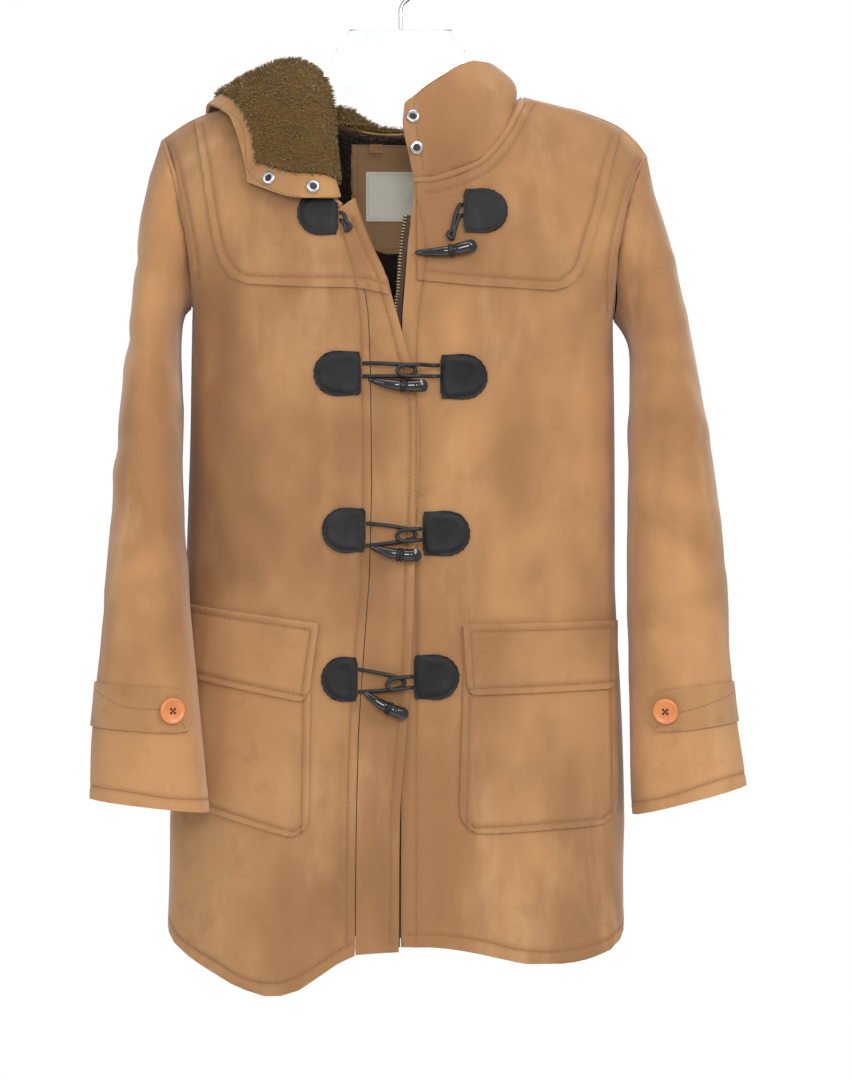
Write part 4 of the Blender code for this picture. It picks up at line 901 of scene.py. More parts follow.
def finish(name, roughness, colour=None, group=None, values=None, **sockets):
    """A Principled material with a plain colour, or one from a node group."""
    material = bpy.data.materials.new(name)
    FINISHES[name] = material
    material.use_nodes = True
    tree = material.node_tree
    shader = tree.nodes["Principled BSDF"]
    shader.inputs["Roughness"].default_value = roughness
    if colour:
        shader.inputs["Base Color"].default_value = (*colour, 1)
    for socket, value in sockets.items():
        shader.inputs[socket.replace("_", " ")].default_value = value
    if group:
        node = tree.nodes.new("ShaderNodeGroup")
        node.node_tree = bpy.data.node_groups[group]
        for socket, value in (values or {}).items():
            node.inputs[socket].default_value = (*value, 1)
        tree.links.new(node.outputs["Color"], shader.inputs["Base Color"])
        tree.links.new(node.outputs["Normal"], shader.inputs["Normal"])
    return material


def pile_finish(name, root, tip):
    """Fur: darker at the root and in the hollows, paler at the tips."""
    material = finish(name, 0.85, root, Sheen_Weight=0.25, Sheen_Roughness=0.4)
    tree = material.node_tree
    height = tree.nodes.new("ShaderNodeAttribute")
    height.attribute_name = "height"
    tone = tree.nodes.new("ShaderNodeAttribute")
    tone.attribute_name = "tone"
    mask = sums(tree, "MULTIPLY", height.outputs["Fac"], ramp(tree, tone.outputs["Fac"], -0.3, 1.0))
    colour = blend(tree, mask, root, tip)
    tree.links.new(colour, tree.nodes["Principled BSDF"].inputs["Base Color"])
    return material


def build_materials():
    """Every finish of the coat, by name."""
    nap_group()
    grain_group()
    colours = bpy.context.scene.coat_cloth
    suede, shade, light = (tuple(c) for c in (colours.suede, colours.shade, colours.light))
    sheen = dict(Sheen_Weight=0.28, Sheen_Roughness=0.45, Specular_IOR_Level=0.15)
    # Brightness of each copy of the one suede, painted light and shade: the sleeves lit brighter,
    # the pockets and hood a little darker, and the darkest copy on the yokes, sleeve tabs, the
    # wearer's right front and the placket.
    lit_levels = {"suede": 1.0, "suede_sleeve": 1.07, "suede_pocket": 0.95, "suede_yoke": 0.92,
             "suede_hood": 0.95}
    for name, level in lit_levels.items():
        values = {"Suede": suede, "Shade": shade, "Light": light}
        values = {k: tuple(c * level for c in v) for k, v in values.items()}
        finish(name, 0.95, group="Suede nap", values=values, **sheen)
    trim = {"Suede": TRIM, "Shade": shade, "Light": light}
    finish("suede_trim", 0.95, group="Suede nap", values=trim, **sheen)
    pinked = {"Suede": PINKED, "Shade": tuple(c * 0.8 for c in PINKED), "Light": TRIM}
    finish("suede_facing", 0.95, group="Suede nap", values=pinked, **sheen)
    lining = {"Suede": BROWN, "Shade": tuple(c * 0.6 for c in BROWN), "Light": BROWN_TIP}
    finish("brown_lining", 0.95, group="Suede nap", values=lining, Sheen_Weight=0.2)
    finish("olive_fur_base", 0.95, OLIVE)
    pile_finish("olive_fur", OLIVE, OLIVE_TIP)
    finish("brown_fur_base", 0.95, BROWN)
    pile_finish("brown_fur", BROWN, BROWN_TIP)
    finish("thread", 0.7, THREAD)
    finish("black_thread", 0.6, (0.02, 0.02, 0.021))
    finish("cream_thread", 0.7, (0.62, 0.52, 0.34))
    grain = {"Color": BLACK, "Worn": (0.014, 0.014, 0.016)}
    finish("black_leather", 0.5, group="Fine grain", values=grain, Specular_IOR_Level=0.3)
    finish("black_horn", 0.12, HORN, Coat_Weight=0.6, Coat_Roughness=0.06)
    finish("black_cord", 0.45, (0.010, 0.010, 0.011))
    amber = {"Color": AMBER, "Worn": (0.62, 0.20, 0.055)}
    finish("amber_button", 0.3, group="Fine grain", values=amber, Coat_Weight=0.35,
           Coat_Roughness=0.15)
    finish("button_hole", 0.7, (0.03, 0.012, 0.006))
    finish("snap_silver", 0.24, SILVER, Metallic=1.0)
    finish("snap_socket", 0.5, (0.05, 0.05, 0.05), Metallic=1.0)
    finish("zip_bronze", 0.35, BRONZE, Metallic=0.9)
    finish("zip_tape", 0.9, (0.045, 0.028, 0.018))
    finish("hook_steel", 0.22, (0.62, 0.63, 0.65), Metallic=1.0)
    finish("clear_plastic", 0.08, CLEAR, Transmission_Weight=1.0, IOR=1.2)
    cream = {"Color": CREAM, "Worn": tuple(c * 0.86 for c in CREAM)}
    finish("label_cream", 0.75, group="Fine grain", values=cream)
    finish("floor", 0.9, (0.9, 0.9, 0.9))


class CoatCloth(bpy.types.PropertyGroup):
    """Sizes and colours of the cloth."""
    depth: FloatProperty(name="Crease depth", description="How strongly the cloth is creased",
                         default=1.2, min=0.0, max=1.3)
    groove: FloatProperty(name="Seam groove",
                          description="How deep the stitching draws the suede in", default=0.0007,
                          min=0.0, max=0.001, unit="LENGTH")
    suede: FloatVectorProperty(name="Suede", description="Colour of the suede",
                               default=SUEDE, size=3, min=0, max=1, subtype="COLOR")
    shade: FloatVectorProperty(name="Brushed down", description="Suede in its darker patches",
                               default=SUEDE_DARK, size=3, min=0, max=1, subtype="COLOR")
    light: FloatVectorProperty(name="Brushed up", description="Suede in its paler patches",
                               default=SUEDE_LIGHT, size=3, min=0, max=1, subtype="COLOR")


class CoatFur(bpy.types.PropertyGroup):
    """Sizes of the fur."""
    length: FloatProperty(name="Pile length", description="Length of the fur inside the hood",
                          default=0.0052, min=0.003, max=0.008, unit="LENGTH")
    count: IntProperty(name="Tufts", description="Tufts on the hood half that shows most",
                       default=15000, min=4000, max=21000)


class CoatStitch(bpy.types.PropertyGroup):
    """Sizes of the stitching."""
    pitch: FloatProperty(name="Stitch pitch", description="From one stitch to the next",
                         default=0.0037, min=0.002, max=0.006, unit="LENGTH")
    length: FloatProperty(name="Stitch length", description="Length of a stitch that shows",
                          default=0.0028, min=0.001, max=0.005, unit="LENGTH")


class COAT_OT_stage(bpy.types.Operator):
    """Camera, light and floor."""
    bl_idname = "coat.stage"
    bl_label = "Stage"

    def execute(self, context):
        scene = context.scene
        camera = bpy.data.objects.new("camera", bpy.data.cameras.new("camera"))
        camera.data.sensor_width = 36
        camera.data.lens = 36 * CAMERA_DISTANCE / PICTURE_HEIGHT
        camera.data.clip_end = 50
        camera.location = Vector((CAMERA_X, FRONT_PLANE - CAMERA_DISTANCE, CAMERA_Z)) * MM
        camera.rotation_euler = (math.pi / 2, 0, 0)
        scene.collection.objects.link(camera)
        scene.camera = camera
        world = bpy.data.worlds.new("studio")
        world.use_nodes = True
        tree = world.node_tree
        sky = tree.nodes["Background"]
        sky.inputs["Color"].default_value = (1, 1, 1, 1)
        path = tree.nodes.new("ShaderNodeLightPath").outputs
        seen = sums(tree, "MAXIMUM", path["Is Camera Ray"], path["Is Transmission Ray"])
        lit = sums(tree, "ADD", sums(tree, "MULTIPLY", seen, 1.0 - STUDIO_LIGHT), STUDIO_LIGHT)
        tree.links.new(lit, sky.inputs["Strength"])
        scene.world = world
        scene.view_settings.view_transform = "Standard"
        for name, (place, size, power) in LIGHTS.items():
            light = bpy.data.objects.new(name, bpy.data.lights.new(name, "AREA"))
            light.data.size = size
            light.data.energy = power
            light.location = place
            aim = Vector(AIM) - Vector(place)
            light.rotation_euler = aim.to_track_quat("-Z", "Y").to_euler()
            scene.collection.objects.link(light)
        turns = [math.pi * k / 48 for k in range(96)]
        ring = [(FLOOR_RADIUS * math.cos(t), FLOOR_RADIUS * math.sin(t), FLOOR_Z) for t in turns]
        floor = add_mesh("floor", ring, [tuple(range(96))], smooth=False)
        floor.data.materials.append(FINISHES["floor"])
        scene.collection.objects.link(floor)
        return {"FINISHED"}


def is_lining(centres, normals):
    """True for faces of the body that look inwards."""
    out = centres * (0.5, 1, 0)
    return (normals * out).sum(1) < -0.3 * np.linalg.norm(out, axis=1)


def sleeve_lining(side):
    """The same for a sleeve, from its own axis."""
    axis = sleeve_axis(side)

    def inwards(centres, normals):
        out = centres * (1, 1, 0)
        for k in (0, 1):
            out[:, k] -= np.interp(centres[:, 2], axis[:, 0], axis[:, k + 1])
        return (normals * out).sum(1) < -0.3 * np.linalg.norm(out, axis=1)
    return inwards


def add_cloth(node, finishes, slot, shift, held="hung", rests=(), **how):
    """A cloth piece on its CAD node's form."""
    piece = detailed(f"{node}_cloth", node, shift, **how)
    return place_piece(piece, finishes, [node])


class COAT_OT_body(bpy.types.Operator):
    """Back, fronts and placket, with their creases and sunk seams."""
    bl_idname = "coat.body"
    bl_label = "Body"

    def execute(self, context):
        seams = seam_tree(STITCH_FRONT.values(), node_tree(FRONT_NODES))
        seams_back = seam_tree(STITCH_BACK.values(), node_tree(("back",)), 1)
        # The wearer's right front and the placket take the darkest suede copy: painted shade for
        # the side away from the key light.
        for node, outer, sunk in (("front_l", "suede", seams), ("front_r", "suede_yoke", seams),
                                  ("placket", "suede_yoke", seams), ("back", "suede", seams_back)):
            add_cloth(node, (outer, "brown_lining"), "suede", body_shift, seams=sunk,
                      lining=is_lining, rests=("hanger_body",))
        for node in ("yoke_l", "yoke_r"):
            add_cloth(node, "suede_yoke", "suede", body_shift, seams=seams, edge=6.0,
                      held="laid", rests=("front_l_cloth", "front_r_cloth"))
        return {"FINISHED"}


class COAT_OT_pockets(bpy.types.Operator):
    """Patch pockets and their flaps."""
    bl_idname = "coat.pockets"
    bl_label = "Pockets"

    def execute(self, context):
        for node in POCKETS:
            seams = seam_tree(pocket_rows(node), node_tree((node,)))
            below = f"front_{node[-1]}_cloth"
            rests = (below, f"pocket_{node[-1]}_cloth") if "flap" in node else (below,)
            add_cloth(node, "suede_pocket", "suede", body_shift, seams=seams, edge=6.0,
                      held="laid", rests=rests)
        return {"FINISHED"}


class COAT_OT_sleeves(bpy.types.Operator):
    """Two-piece sleeves and their buttoned tabs."""
    bl_idname = "coat.sleeves"
    bl_label = "Sleeves"

    def execute(self, context):
        for side in "rl":
            shift = sleeve_shift(side)
            lining = sleeve_lining(side)
            nodes = (f"sleeve_top_{side}", f"sleeve_under_{side}", f"sleeve_tab_{side}")
            tree = node_tree(nodes)
            spots = [hit for row in sleeve_rows(side) for hit in radial(side, row, tree)]
            seams = seam_finder([spot for spot, normal in spots])
            for node in nodes[:2]:
                add_cloth(node, ("suede_sleeve", "brown_lining"), "suede", shift, seams=seams,
                          lining=lining, rests=(f"front_{side}_cloth", "back_cloth"))
            add_cloth(nodes[2], "suede_yoke", "suede", shift, seams=seams, edge=6.0,
                      held="laid", rests=(f"{nodes[0]}_cloth",))
        return {"FINISHED"}


def sleeve_rows(side):
    """Rows of stitching on a sleeve, as height and angle round from its outer edge."""
    outer, inner = CUFFS[side]
    turns = np.linspace(0, 2 * math.pi, 120)
    hem = [((outer + inner) / 2 + (outer - inner) / 2 * math.cos(a) + 12, a) for a in turns]
    seam = [(z, math.radians(SLEEVE_SEAM - 5)) for z in np.linspace(-300, outer + 4, 120)]
    return [hem, seam]


def radial(side, row, tree):
    """Where lines out from a sleeve's axis meet a tree: points and normals."""
    axis = sleeve_axis(side)
    found = []
    for z, turn in row:
        middle = np.array([np.interp(z, axis[:, 0], axis[:, k]) for k in (1, 2)] + [z])
        out = np.array([SLEEVE_SIDES[side] * math.cos(turn), -math.sin(turn), 0])
        hit = tree.ray_cast(Vector((middle + out * 140) * MM), Vector(-out))
        if hit[0] is not None and abs(hit[0].x / MM - middle[0]) < 100:
            normal = np.array(hit[1])
            found.append((np.array(hit[0]) / MM, normal if normal.dot(out) > 0 else -normal))
    return found


def sewn_along(found, pitch, length):
    """Stitches along points already on a surface."""
    spots = np.array([f[0] for f in found])
    run = run_along(spots)
    sewn = []
    for at in np.arange(pitch / 2, run[-1], pitch):
        k = min(int(np.searchsorted(run, at)), len(found) - 1)
        way = spots[k] - spots[k - 1]
        if np.linalg.norm(way) > 12:
            continue
        share = (at - run[k - 1]) / max(run[k] - run[k - 1], 1e-6)
        normal = found[k][1]
        way -= normal * way.dot(normal)
        sewn.append((spots[k - 1] + share * (spots[k] - spots[k - 1]),
                     way / max(np.linalg.norm(way), 1e-6), normal, length))
    return sewn


def seam_roll(name, line, radius):
    """A soft roll of suede that closes a seam."""
    points, faces = swept(line, lambda run, turn: radius, 12)
    return place_piece(add_mesh(name, points, faces), "suede")


def side_strip(name, line, way):
    """The turned-in edges of a side seam: a flat strip just under the suede."""
    points, faces = swept(line, lambda run, turn: STRIP_HALF, 12)
    points = np.array(points)
    points[:, 0] -= way * (0.4 + 2.2 * (points[:, 1] / STRIP_HALF) ** 2)
    points[:, 1] *= STRIP_STRETCH
    return place_piece(add_mesh(name, points, faces), "suede")


class COAT_OT_seams(bpy.types.Operator):
    """The turned seams of armholes, sides, shoulders and sleeves, and under the collar."""
    bl_idname = "coat.seams"
    bl_label = "Turned seams"

    def execute(self, context):
        table = np.array(SIDES, float)[::-1]
        turns = np.linspace(0, 2 * math.pi, 90)
        for side, top, bottom, column in (("r", -174.0, -333.0, 1), ("l", -190.0, -345.0, 2)):
            way = SLEEVE_SIDES[side]
            z = (top + bottom) / 2 + ((top - bottom) / 2 - 1.4) * np.cos(turns)
            x = np.interp(z, table[:, 0], table[:, column]) - way * 0.8
            ring = np.stack([x, -ARMHOLE_HALF * np.sin(turns), z], -1)
            seam_roll(f"armhole_seam_{side}", ring, 1.8)
            down = table[table[:, 0] <= bottom + 4]
            edge = np.stack([down[:, column] - way * 1.4, 0 * down[:, 0], down[:, 0]], -1)
            side_strip(f"side_seam_{side}", through(edge, np.linspace(0, 1, 90)), way)
            along = [(x, 0.0, z - 1.6) for x, z in SHOULDER if x * way > 112]
            seam_roll(f"shoulder_seam_{side}", through(along, np.linspace(0, 1, 30)), 1.5)
        for side in "rl":
            tree = tree_of(f"sleeve_top_{side}_cloth", f"sleeve_under_{side}_cloth")
            down = np.linspace(-215, CUFFS[side][0] + 6, 90)
            sides = [radial(side, [(z, math.radians(SLEEVE_SEAM + beside)) for z in down], tree)
                     for beside in (-3, 3)]
            if any(len(found) != len(down) for found in sides):
                raise RuntimeError("a sleeve seam misses its sleeve")
            line = [(a[0] + b[0]) / 2 - 1.1 * a[1] for a, b in zip(*sides)]
            seam_roll(f"sleeve_seam_{side}", line, 1.4)
        for side, edge, way in (("l", NECK_L, (1.2, -1.8)), ("r", NECK_R, (-1.2, -1.8))):
            tree = tree_of(f"front_{side}_cloth", f"yoke_{side}_cloth", "placket_cloth")
            line = []
            for x, z in spaced(edge, 4.0)[:-2]:
                hit = seen_from(tree, x + way[0], z + way[1])
                if hit is not None:
                    line.append(hit[0] + (-1.3 * way[0], 1.6, -1.7 * way[1]))
            seam_roll(f"neck_seam_{side}", through(line, np.linspace(0, 1, 60)), 3.0)
        return {"FINISHED"}


class COAT_OT_hood(bpy.types.Operator):
    """The two halves of the hood and the suede band round its opening."""
    bl_idname = "coat.hood"
    bl_label = "Hood"

    def execute(self, context):
        for side in "rl":
            add_cloth(f"hood_{side}", "suede_hood", "suede", hood_shift, edge=7.0, turns=4,
                      held="folded", rests=(f"front_{side}_cloth", "back_cloth"))
            add_cloth(f"hood_trim_{side}", "suede_trim", "suede_trim", hood_shift, edge=4.0,
                      turns=4, held="folded", rests=(f"hood_{side}_cloth",))
        return {"FINISHED"}


def add_pile(node, base, material, count, length, width, lean, seed, shift):
    """Fur: a backing on its CAD node's form, and its tufts."""
    backing = detailed(f"{node}_cloth", node, shift, edge=7.0, turns=4)
    below = "back_cloth" if node == "back_fur" else node.replace("fur_", "") + "_cloth"
    trees = [tree_of(below)]
    if node == "back_fur":
        trees.append(node_tree(("back_facing", "label", "hanger_loop")))
    points, faces, tone, height = tufts(backing, count, length, width, lean, seed, trees)
    pile = add_mesh(f"{node}_pile", points, faces, smooth=False)
    pile.data.shade_smooth()
    pile.data.attributes.new("tone", "FLOAT", "POINT").data.foreach_set("value", tone)
    pile.data.attributes.new("height", "FLOAT", "POINT").data.foreach_set("value", height)
    place_piece(pile, material)
    place_piece(backing, base, [node])


class COAT_OT_fur(bpy.types.Operator):
    """Short dense fur inside the hood and over the upper back."""
    bl_idname = "coat.fur"
    bl_label = "Fur"

    def execute(self, context):
        fur = context.scene.coat_fur
        long = fur.length / MM
        rest = int(fur.count * 0.6)
        add_pile("hood_fur_r", "olive_fur_base", "olive_fur", fur.count, long, 0.45,
                 (0.25, -0.2, -0.55), 11, hood_shift)
        add_pile("hood_fur_l", "olive_fur_base", "olive_fur", rest, long, 0.45,
                 (-0.25, -0.2, -0.55), 12, hood_shift)
        add_pile("back_fur", "brown_fur_base", "brown_fur", rest, long * 0.8, 0.55,
                 (0.0, -0.2, -0.6), 13, no_shift)
        return {"FINISHED"}


class COAT_OT_stitching(bpy.types.Operator):
    """Rows of topstitching, each stitch sunk in the cloth that it holds."""
    bl_idname = "coat.stitching"
    bl_label = "Stitching"

    def execute(self, context):
        sizes = context.scene.coat_stitch
        pitch, length = sizes.pitch / MM, sizes.length / MM
        front = tree_of(*(f"{node}_cloth" for node in FRONT_NODES))
        body = stitched(STITCH_FRONT.values(), front, -1, pitch, length)
        body += stitched(STITCH_BACK.values(), tree_of("back_cloth"), 1, pitch, length)
        place_piece(thread_mesh("stitching_body", body), "thread")
        sewn = []
        for node in POCKETS:
            sewn += stitched(pocket_rows(node), tree_of(f"{node}_cloth"), -1, pitch, length)
        place_piece(thread_mesh("stitching_pockets", sewn), "thread")
        sewn = []
        for side in "rl":
            sleeve = tree_of(f"sleeve_top_{side}_cloth", f"sleeve_under_{side}_cloth")
            for row in sleeve_rows(side):
                sewn += sewn_along(radial(side, row, sleeve), pitch, length)
            tab = tree_of(f"sleeve_tab_{side}_cloth")
            sewn += stitched([TAB_ROWS[side]], tab, -1, pitch, length)
        place_piece(thread_mesh("stitching_sleeves", sewn), "thread")
        sewn = []
        for side in "lr":
            hood = tree_of(f"hood_{side}_cloth", f"hood_trim_{side}_cloth")
            sewn += stitched([HOOD_ROWS[side]], hood, -1, pitch, length)
        place_piece(thread_mesh("stitching_hood", sewn), "thread")
        return {"FINISHED"}


def core_line(node, plan):
    """The middle of a round CAD rod, below each point of its plan."""
    tree = node_tree((node,))
    depth = []
    for x, z in plan:
        near, far = (seen_from(tree, x, z, side) for side in (-1, 1))
        depth.append((near[0][1] + far[0][1]) / 2 if near and far else np.nan)
    depth = np.array(depth)
    good = ~np.isnan(depth)
    if good.sum() < 2:
        raise RuntimeError(f"{node} isn't under its plan")
    run = np.arange(len(depth))
    depth = np.interp(run, run[good], depth[good])
    for turn in range(2):
        depth[1:-1] = (depth[:-2] + 2 * depth[1:-1] + depth[2:]) / 4
    return np.stack([plan[:, 0], depth, plan[:, 1]], -1)


def loop_plan(start, end, gap):
    """A cord loop from the front: out from its patch, round the end and back."""
    (x0, z0), (x1, z1) = start, end
    turn = LOOP_TURN if x1 > x0 else -LOOP_TURN
    middle, step = (x0 + x1) / 2, turn * 0.6
    route = [(x0, z0 + gap), (x0 + step, z0 + gap), (middle, (z0 + z1 + gap + LOOP_HALF) / 2 + 0.6),
             (x1 - turn, z1 + LOOP_HALF), (x1, z1), (x1 - turn, z1 - LOOP_HALF),
             (middle, (z0 + z1 - gap - LOOP_HALF) / 2 - 0.6), (x0 + step, z0 - gap), (x0, z0 - gap)]
    return spaced(route, 0.9)


def node_axis(node):
    """The middle of a round CAD piece's wide foot, and its axis away from the foot."""
    spots = np.array([v.co for v in LOADED[node].data.vertices]) / MM
    spots = np.unique(np.round(spots, 3), axis=0)
    middle = (spots.min(0) + spots.max(0)) / 2
    ways = np.linalg.eigh(np.cov((spots - spots.mean(0)).T))[1]
    axis = ways[:, 0]
    high = (spots - middle).dot(axis)
    wide = np.linalg.norm(spots - middle - high[:, None] * axis, axis=1)
    top, foot = (wide[np.abs(high - end) < 0.3].max() for end in (high.max(), high.min()))
    if top > foot:
        axis, high = -axis, -high
    return middle + axis * high.min(), axis


def patch_row(centre, width, flat, inset):
    """The edge of a leather patch, or a row inside it: half round, with a straight edge."""
    half = PATCH_HEIGHT / 2 - inset
    straight = width - PATCH_HEIGHT / 2 - inset
    line = [(half * math.cos(t), half * math.sin(t))
            for t in np.linspace(math.pi / 2, 1.5 * math.pi, 21)]
    line += [(straight, -half + 1.5), (straight, half - 1.5)]
    shift = width / 2 - (width - PATCH_HEIGHT / 2)
    return [(centre[0] + flat * (x + shift), centre[1] + z) for x, z in line]


class COAT_OT_fastenings(bpy.types.Operator):
    """Leather patches, twisted cord loops, horn toggles, buttons and snaps."""
    bl_idname = "coat.fastenings"
    bl_label = "Fastenings"

    def execute(self, context):
        sewn = []
        for number, row in enumerate(CLOSURES, 1):
            for side, flat in (("r", 1), ("l", -1)):
                width = row[f"width_{side}"]
                node = f"patch_{number}_{side}"
                ring = patch_row(row[side], width, flat, PATCH_ROW)
                ring = [tuple(p) for p in spaced(ring + ring[:1], 2.0)]
                seams = seam_tree([ring], node_tree((node,)))
                piece = detailed(f"{node}_leather", node, body_shift, edge=4.0, turns=3,
                                 seams=seams)
                place_piece(piece, "black_leather", [node])
                sewn += stitched([ring], tree_of(piece.name), -1, PATCH_ROW, 1.9)
                edge = row[side][0] + flat * (width / 2 + 1.2)
                start = (edge, row[f"from_{side}"])
                plan = loop_plan(start, row[f"loop_{side}"], row[f"gap_{side}"])
                path = core_line(f"cord_{number}_{side}", plan)
                path += body_shift(path)
                points, faces = swept(path, lambda run, turn: CORD_RADIUS * (
                    0.93 + 0.1 * abs(math.sin(turn + run * 1.1))), 14)
                place_piece(add_mesh(f"cord_{number}_{side}_rope", points, faces),
                            "black_cord", [f"cord_{number}_{side}"])
            self.add_toggle(number, row)
        place_piece(thread_mesh("stitching_patches", sewn, 0.3), "black_thread")
        for side in "rl":
            self.add_button(side)
            hood = tree_of(f"hood_{side}_cloth", f"hood_trim_{side}_cloth")
            for number in (1, 2):
                self.add_snap(f"snap_{side}_{number}", hood)
        return {"FINISHED"}

    def add_snap(self, node, hood):
        """A ringed snap on the hood, and its back where the hood shows both its sides."""
        seat, axis = node_axis(node)
        parts, centres = [], []
        for way in (1, -1) if axis[1] > 0 else (1,):
            hit = hood.ray_cast(Vector(seat + 25 * way * axis) * MM, Vector(-way * axis), 45 * MM)
            centre = seat if hit[0] is None else np.array(hit[0]) / MM - 0.15 * way * axis
            parts.append(turned(centre, way * axis, [(h, r) for r, h in SNAP], 36))
            centres.append(centre)
        piece = add_mesh(f"{node}_cap", *joined(parts))
        place_piece(piece, ("snap_silver", "snap_socket"), [node])
        for polygon in piece.data.polygons:
            spots = [np.array(polygon.center) / MM - centre for centre in centres]
            spot = min(spots, key=np.linalg.norm)
            flat = np.linalg.norm(spot - axis * spot.dot(axis))
            polygon.material_index = int(flat < 2.9 and abs(spot.dot(axis)) > 0.5)

    def add_toggle(self, number, row):
        """A horn: narrow tip, waist for its cord, wide end."""
        (x0, z0), (x1, z1) = row["tip"], row["end"]
        share = np.array([s for s, r in TOGGLE])
        share = np.unique(np.append(share, np.linspace(0, 1, 40)))
        sag = 2.5 * np.sin(share * math.pi)
        plan = np.stack([x0 + (x1 - x0) * share, z0 + (z1 - z0) * share - sag], -1)
        path = core_line(f"toggle_{number}", plan)
        path += body_shift(path.mean(0)[None])
        places, sizes = np.array(TOGGLE).T
        sizes = np.maximum(sizes, 0.3)
        length = np.linalg.norm(np.diff(path, axis=0), axis=1).sum()
        parts = [swept(path, lambda run, turn: float(np.interp(run / length, places, sizes)), 28)]
        horn = len(parts[0][1])
        at = int(TOGGLE_WAIST * len(path))
        waist = path[at]
        axis, right, up = frame_across(path[at + 1] - waist)
        for shift in (-1.4, 1.2):
            ring = [waist + axis * (shift + 0.2 * math.sin(t))
                    + 5.3 * (math.cos(t) * right + math.sin(t) * up)
                    for t in np.linspace(0, 2 * math.pi, 40)]
            parts.append(swept(ring, lambda run, turn: 1.15, 10))
        piece = add_mesh(f"toggle_{number}_horn", *joined(parts))
        place_piece(piece, ("black_horn", "black_cord"), [f"toggle_{number}"])
        for polygon in piece.data.polygons[horn:]:
            polygon.material_index = 1

    def add_button(self, side):
        """A dished button with four holes, sewn on with a dark thread."""
        centre, axis = node_axis(f"button_{side}")
        centre = centre + sleeve_shift(side)(centre[None])[0]
        points, faces = turned(centre, axis, [(h, r) for r, h in BUTTON], 48)
        piece = add_mesh(f"button_{side}_disc", points, faces)
        place_piece(piece, "amber_button", [f"button_{side}"])
        axis, right, up = frame_across(axis)
        parts = []
        for x, z in ((-1.9, -1.9), (1.9, -1.9), (1.9, 1.9), (-1.9, 1.9)):
            spot = centre + axis * 2.45 + right * x + up * z
            hole = [(0, 0), (0, 1.1), (0.25, 1.1), (0.3, 0.9), (0.3, 0)]
            parts.append(turned(spot, axis, hole, 16))
        for a, b in (((-1.9, -1.9), (1.9, 1.9)), ((1.9, -1.9), (-1.9, 1.9))):
            ends = [centre + axis * h + right * x * s + up * z * s
                    for (x, z), h, s in ((a, 2.5, 1), (a, 3.1, 0.8), (b, 3.1, 0.8), (b, 2.5, 1))]
            parts.append(swept(through(ends, np.linspace(0, 1, 14)), lambda run, turn: 0.42, 8))
        place_piece(add_mesh(f"button_{side}_thread", *joined(parts)), "button_hole")


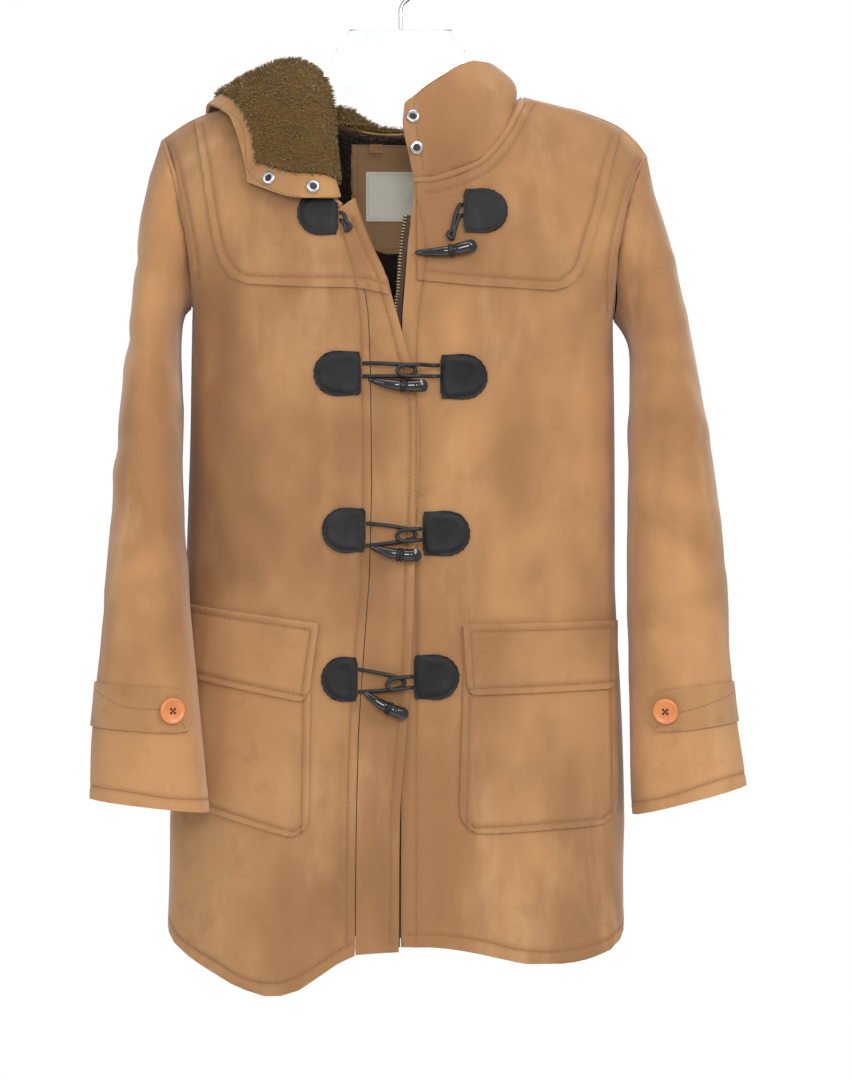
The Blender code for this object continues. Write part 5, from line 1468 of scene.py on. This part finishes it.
class COAT_OT_inside(bpy.types.Operator):
    """Half-moon facing with its pinked edge, blank label, hanging loop and zip."""
    bl_idname = "coat.inside"
    bl_label = "Inside"

    def execute(self, context):
        self.add_facing()
        add_cloth("label", "label_cream", "label_cream", no_shift, edge=3.0, turns=2, held="laid",
                  rests=("back_facing_cloth",))
        add_cloth("hanger_loop", "suede_trim", "suede_trim", no_shift, edge=2.0, turns=2,
                  rests=("back_facing_cloth",))
        rows = [LABEL_RING[k:k + 2] for k in range(4)]
        sewn = stitched(rows, tree_of("label_cloth"), -1, 2.4, 1.7)
        place_piece(thread_mesh("stitching_label", sewn, 0.25), "cream_thread")
        moon = [(FACING_X + (FACING_HALF - 6) * math.cos(t), FACING_BEND - 39 * math.sin(t))
                for t in np.linspace(0, math.pi, 40)]
        rows = [[(FACING_X + FACING_HALF - 6, -176), moon[0]], moon,
                [moon[-1], (FACING_X - FACING_HALF + 6, -176)]]
        sewn = stitched(rows, tree_of("back_facing_cloth"), -1, 3.2, 2.2)
        place_piece(thread_mesh("stitching_facing", sewn, 0.35), "thread")
        self.add_zip()
        return {"FINISHED"}

    def add_facing(self):
        """The facing's edge is cut in small teeth, which stay inside its CAD outline."""
        node = "back_facing"
        tree = node_tree((node,))
        edge = [(FACING_X + FACING_HALF, FACING_TOP)]
        edge += [(FACING_X + FACING_HALF * math.cos(t), FACING_BEND - FACING_DROP * math.sin(t))
                 for t in np.linspace(0, math.pi, 60)]
        edge.append((FACING_X - FACING_HALF, FACING_TOP))
        line = np.array(edge, float)
        steps = run_along(line)
        places = np.arange(0, steps[-1], 1.9)
        line = np.stack([np.interp(places, steps, line[:, k]) for k in (0, 1)], -1)
        inward = np.array([FACING_X, FACING_CENTRE]) - line
        inward /= np.linalg.norm(inward, axis=1, keepdims=True)
        line += inward * np.where(np.arange(len(line)) % 2, 0.4, 2.3)[:, None]
        shape = bmesh.new()
        rim = [shape.verts.new((x, 0, z)) for x, z in line]
        shape.faces.new(rim)
        bmesh.ops.triangulate(shape, faces=shape.faces)
        for turn in range(7):
            inner = [e for e in shape.edges if not e.is_boundary and e.calc_length() > 5]
            bmesh.ops.subdivide_edges(shape, edges=inner, cuts=1)
            bmesh.ops.triangulate(shape, faces=[f for f in shape.faces if len(f.verts) > 3])
        for vert in shape.verts:
            x, z = vert.co.x, vert.co.z
            probes = (seen_from(tree, x + (FACING_X - x) * s, z + (FACING_CENTRE - z) * s)
                      for s in (0, 0.03, 0.08, 0.2))
            found = next((probe for probe in probes if probe is not None), None)
            if found is None:
                raise RuntimeError("the facing isn't over its node")
            vert.co.y = found[0][1]
        bmesh.ops.scale(shape, vec=(MM, MM, MM), verts=shape.verts)
        bmesh.ops.recalc_face_normals(shape, faces=shape.faces)
        mesh = bpy.data.meshes.new(f"{node}_cloth")
        shape.to_mesh(mesh)
        shape.free()
        if sum(polygon.normal.y for polygon in mesh.polygons) > 0:
            mesh.flip_normals()
        piece = bpy.data.objects.new(f"{node}_cloth", mesh)
        thick = piece.modifiers.new("thickness", "SOLIDIFY")
        thick.thickness = 1.1 * MM
        thick.offset = -1
        place_piece(piece, "suede_facing", [node])

    def add_zip(self):
        """The tape with its moulded teeth, closed side outwards."""
        node = "zip"
        add_cloth(node, "zip_tape", "zip_bronze", no_shift, edge=4.0, turns=2,
                  rests=("front_l_cloth",))
        tree = node_tree((node,))
        line = spaced([(x - 6.0, z) for x, z in ZIP_EDGE], TOOTH_PITCH)
        points, faces = [], []
        for k in range(1, len(line) - 1):
            hit = seen_from(tree, *line[k])
            if hit is None:
                continue
            way = line[k + 1] - line[k - 1]
            way = np.array([way[0], 0, way[1]]) / np.linalg.norm(way)
            normal = hit[1] * (-1 if hit[1][1] > 0 else 1)
            across = np.cross(way, normal)
            first = len(points)
            for h, w, l in ((-0.2, 1.9, 0.8), (0.7, 1.9, 0.8), (1.1, 1.4, 0.5)):
                for a, b in ((-1, -1), (1, -1), (1, 1), (-1, 1)):
                    points.append(hit[0] + normal * h + across * a * w + way * b * l)
            faces.append((first + 3, first + 2, first + 1, first))
            for ring in range(2):
                low = first + 4 * ring
                faces += [(low + j, low + (j + 1) % 4, low + 4 + (j + 1) % 4, low + 4 + j)
                          for j in range(4)]
            faces.append((first + 8, first + 9, first + 10, first + 11))
        place_piece(add_mesh("zip_teeth", points, faces), "zip_bronze")


class COAT_OT_hanger(bpy.types.Operator):
    """The clear hanger and its steel hook."""
    bl_idname = "coat.hanger"
    bl_label = "Hanger"

    def execute(self, context):
        piece = detailed("hanger_body", "hanger", no_shift, edge=9.0, turns=3)
        place_piece(piece, "clear_plastic", ["hanger"])
        path = list(HOOK_FOOT)
        for k in range(40):
            turn = math.radians(-48 + 262 * k / 39)
            path.append((HOOK_REACH * math.cos(turn), 0, HOOK_REACH * math.sin(turn) - 18))
        path = through(path, np.linspace(0, 1, 120))
        length = np.linalg.norm(np.diff(path, axis=0), axis=1).sum()
        points, faces = swept(
            path, lambda run, turn: HOOK_WIRE * min(1, 0.55 + (length - run) * 0.35), 20)
        place_piece(add_mesh("hanger_hook_wire", points, faces), "hook_steel",
                    ["hanger_hook"])
        return {"FINISHED"}


PIECES = (COAT_OT_stage, COAT_OT_hanger, COAT_OT_body, COAT_OT_pockets, COAT_OT_sleeves,
          COAT_OT_seams, COAT_OT_hood, COAT_OT_fur, COAT_OT_fastenings, COAT_OT_inside,
          COAT_OT_stitching)


class COAT_PT_panel(bpy.types.Panel):
    """Lists the pieces of the coat."""
    bl_idname = "COAT_PT_panel"
    bl_label = "Duffle coat"
    bl_space_type = "VIEW_3D"
    bl_region_type = "UI"
    bl_category = "Coat"

    def draw(self, context):
        for group in ("coat_cloth", "coat_fur", "coat_stitch"):
            values = getattr(context.scene, group)
            for name in values.bl_rna.properties.keys():
                if name not in ("rna_type", "name"):
                    self.layout.prop(values, name)
        for piece in PIECES:
            self.layout.operator(piece.bl_idname)


CLASSES = (CoatCloth, CoatFur, CoatStitch, *PIECES, COAT_PT_panel)
GROUPS = {"coat_cloth": CoatCloth, "coat_fur": CoatFur, "coat_stitch": CoatStitch}


def register():
    """Add the classes and their values."""
    for item in CLASSES:
        bpy.utils.register_class(item)
    for name, group in GROUPS.items():
        setattr(bpy.types.Scene, name, PointerProperty(type=group))


def unregister():
    """Take them away again."""
    for name in GROUPS:
        delattr(bpy.types.Scene, name)
    for item in reversed(CLASSES):
        bpy.utils.unregister_class(item)


def main():
    """Build every piece in order."""
    register()
    build_materials()
    for piece in PIECES:
        getattr(bpy.ops.coat, piece.bl_idname.split(".")[1])()


if __name__ == "__main__":
    main()
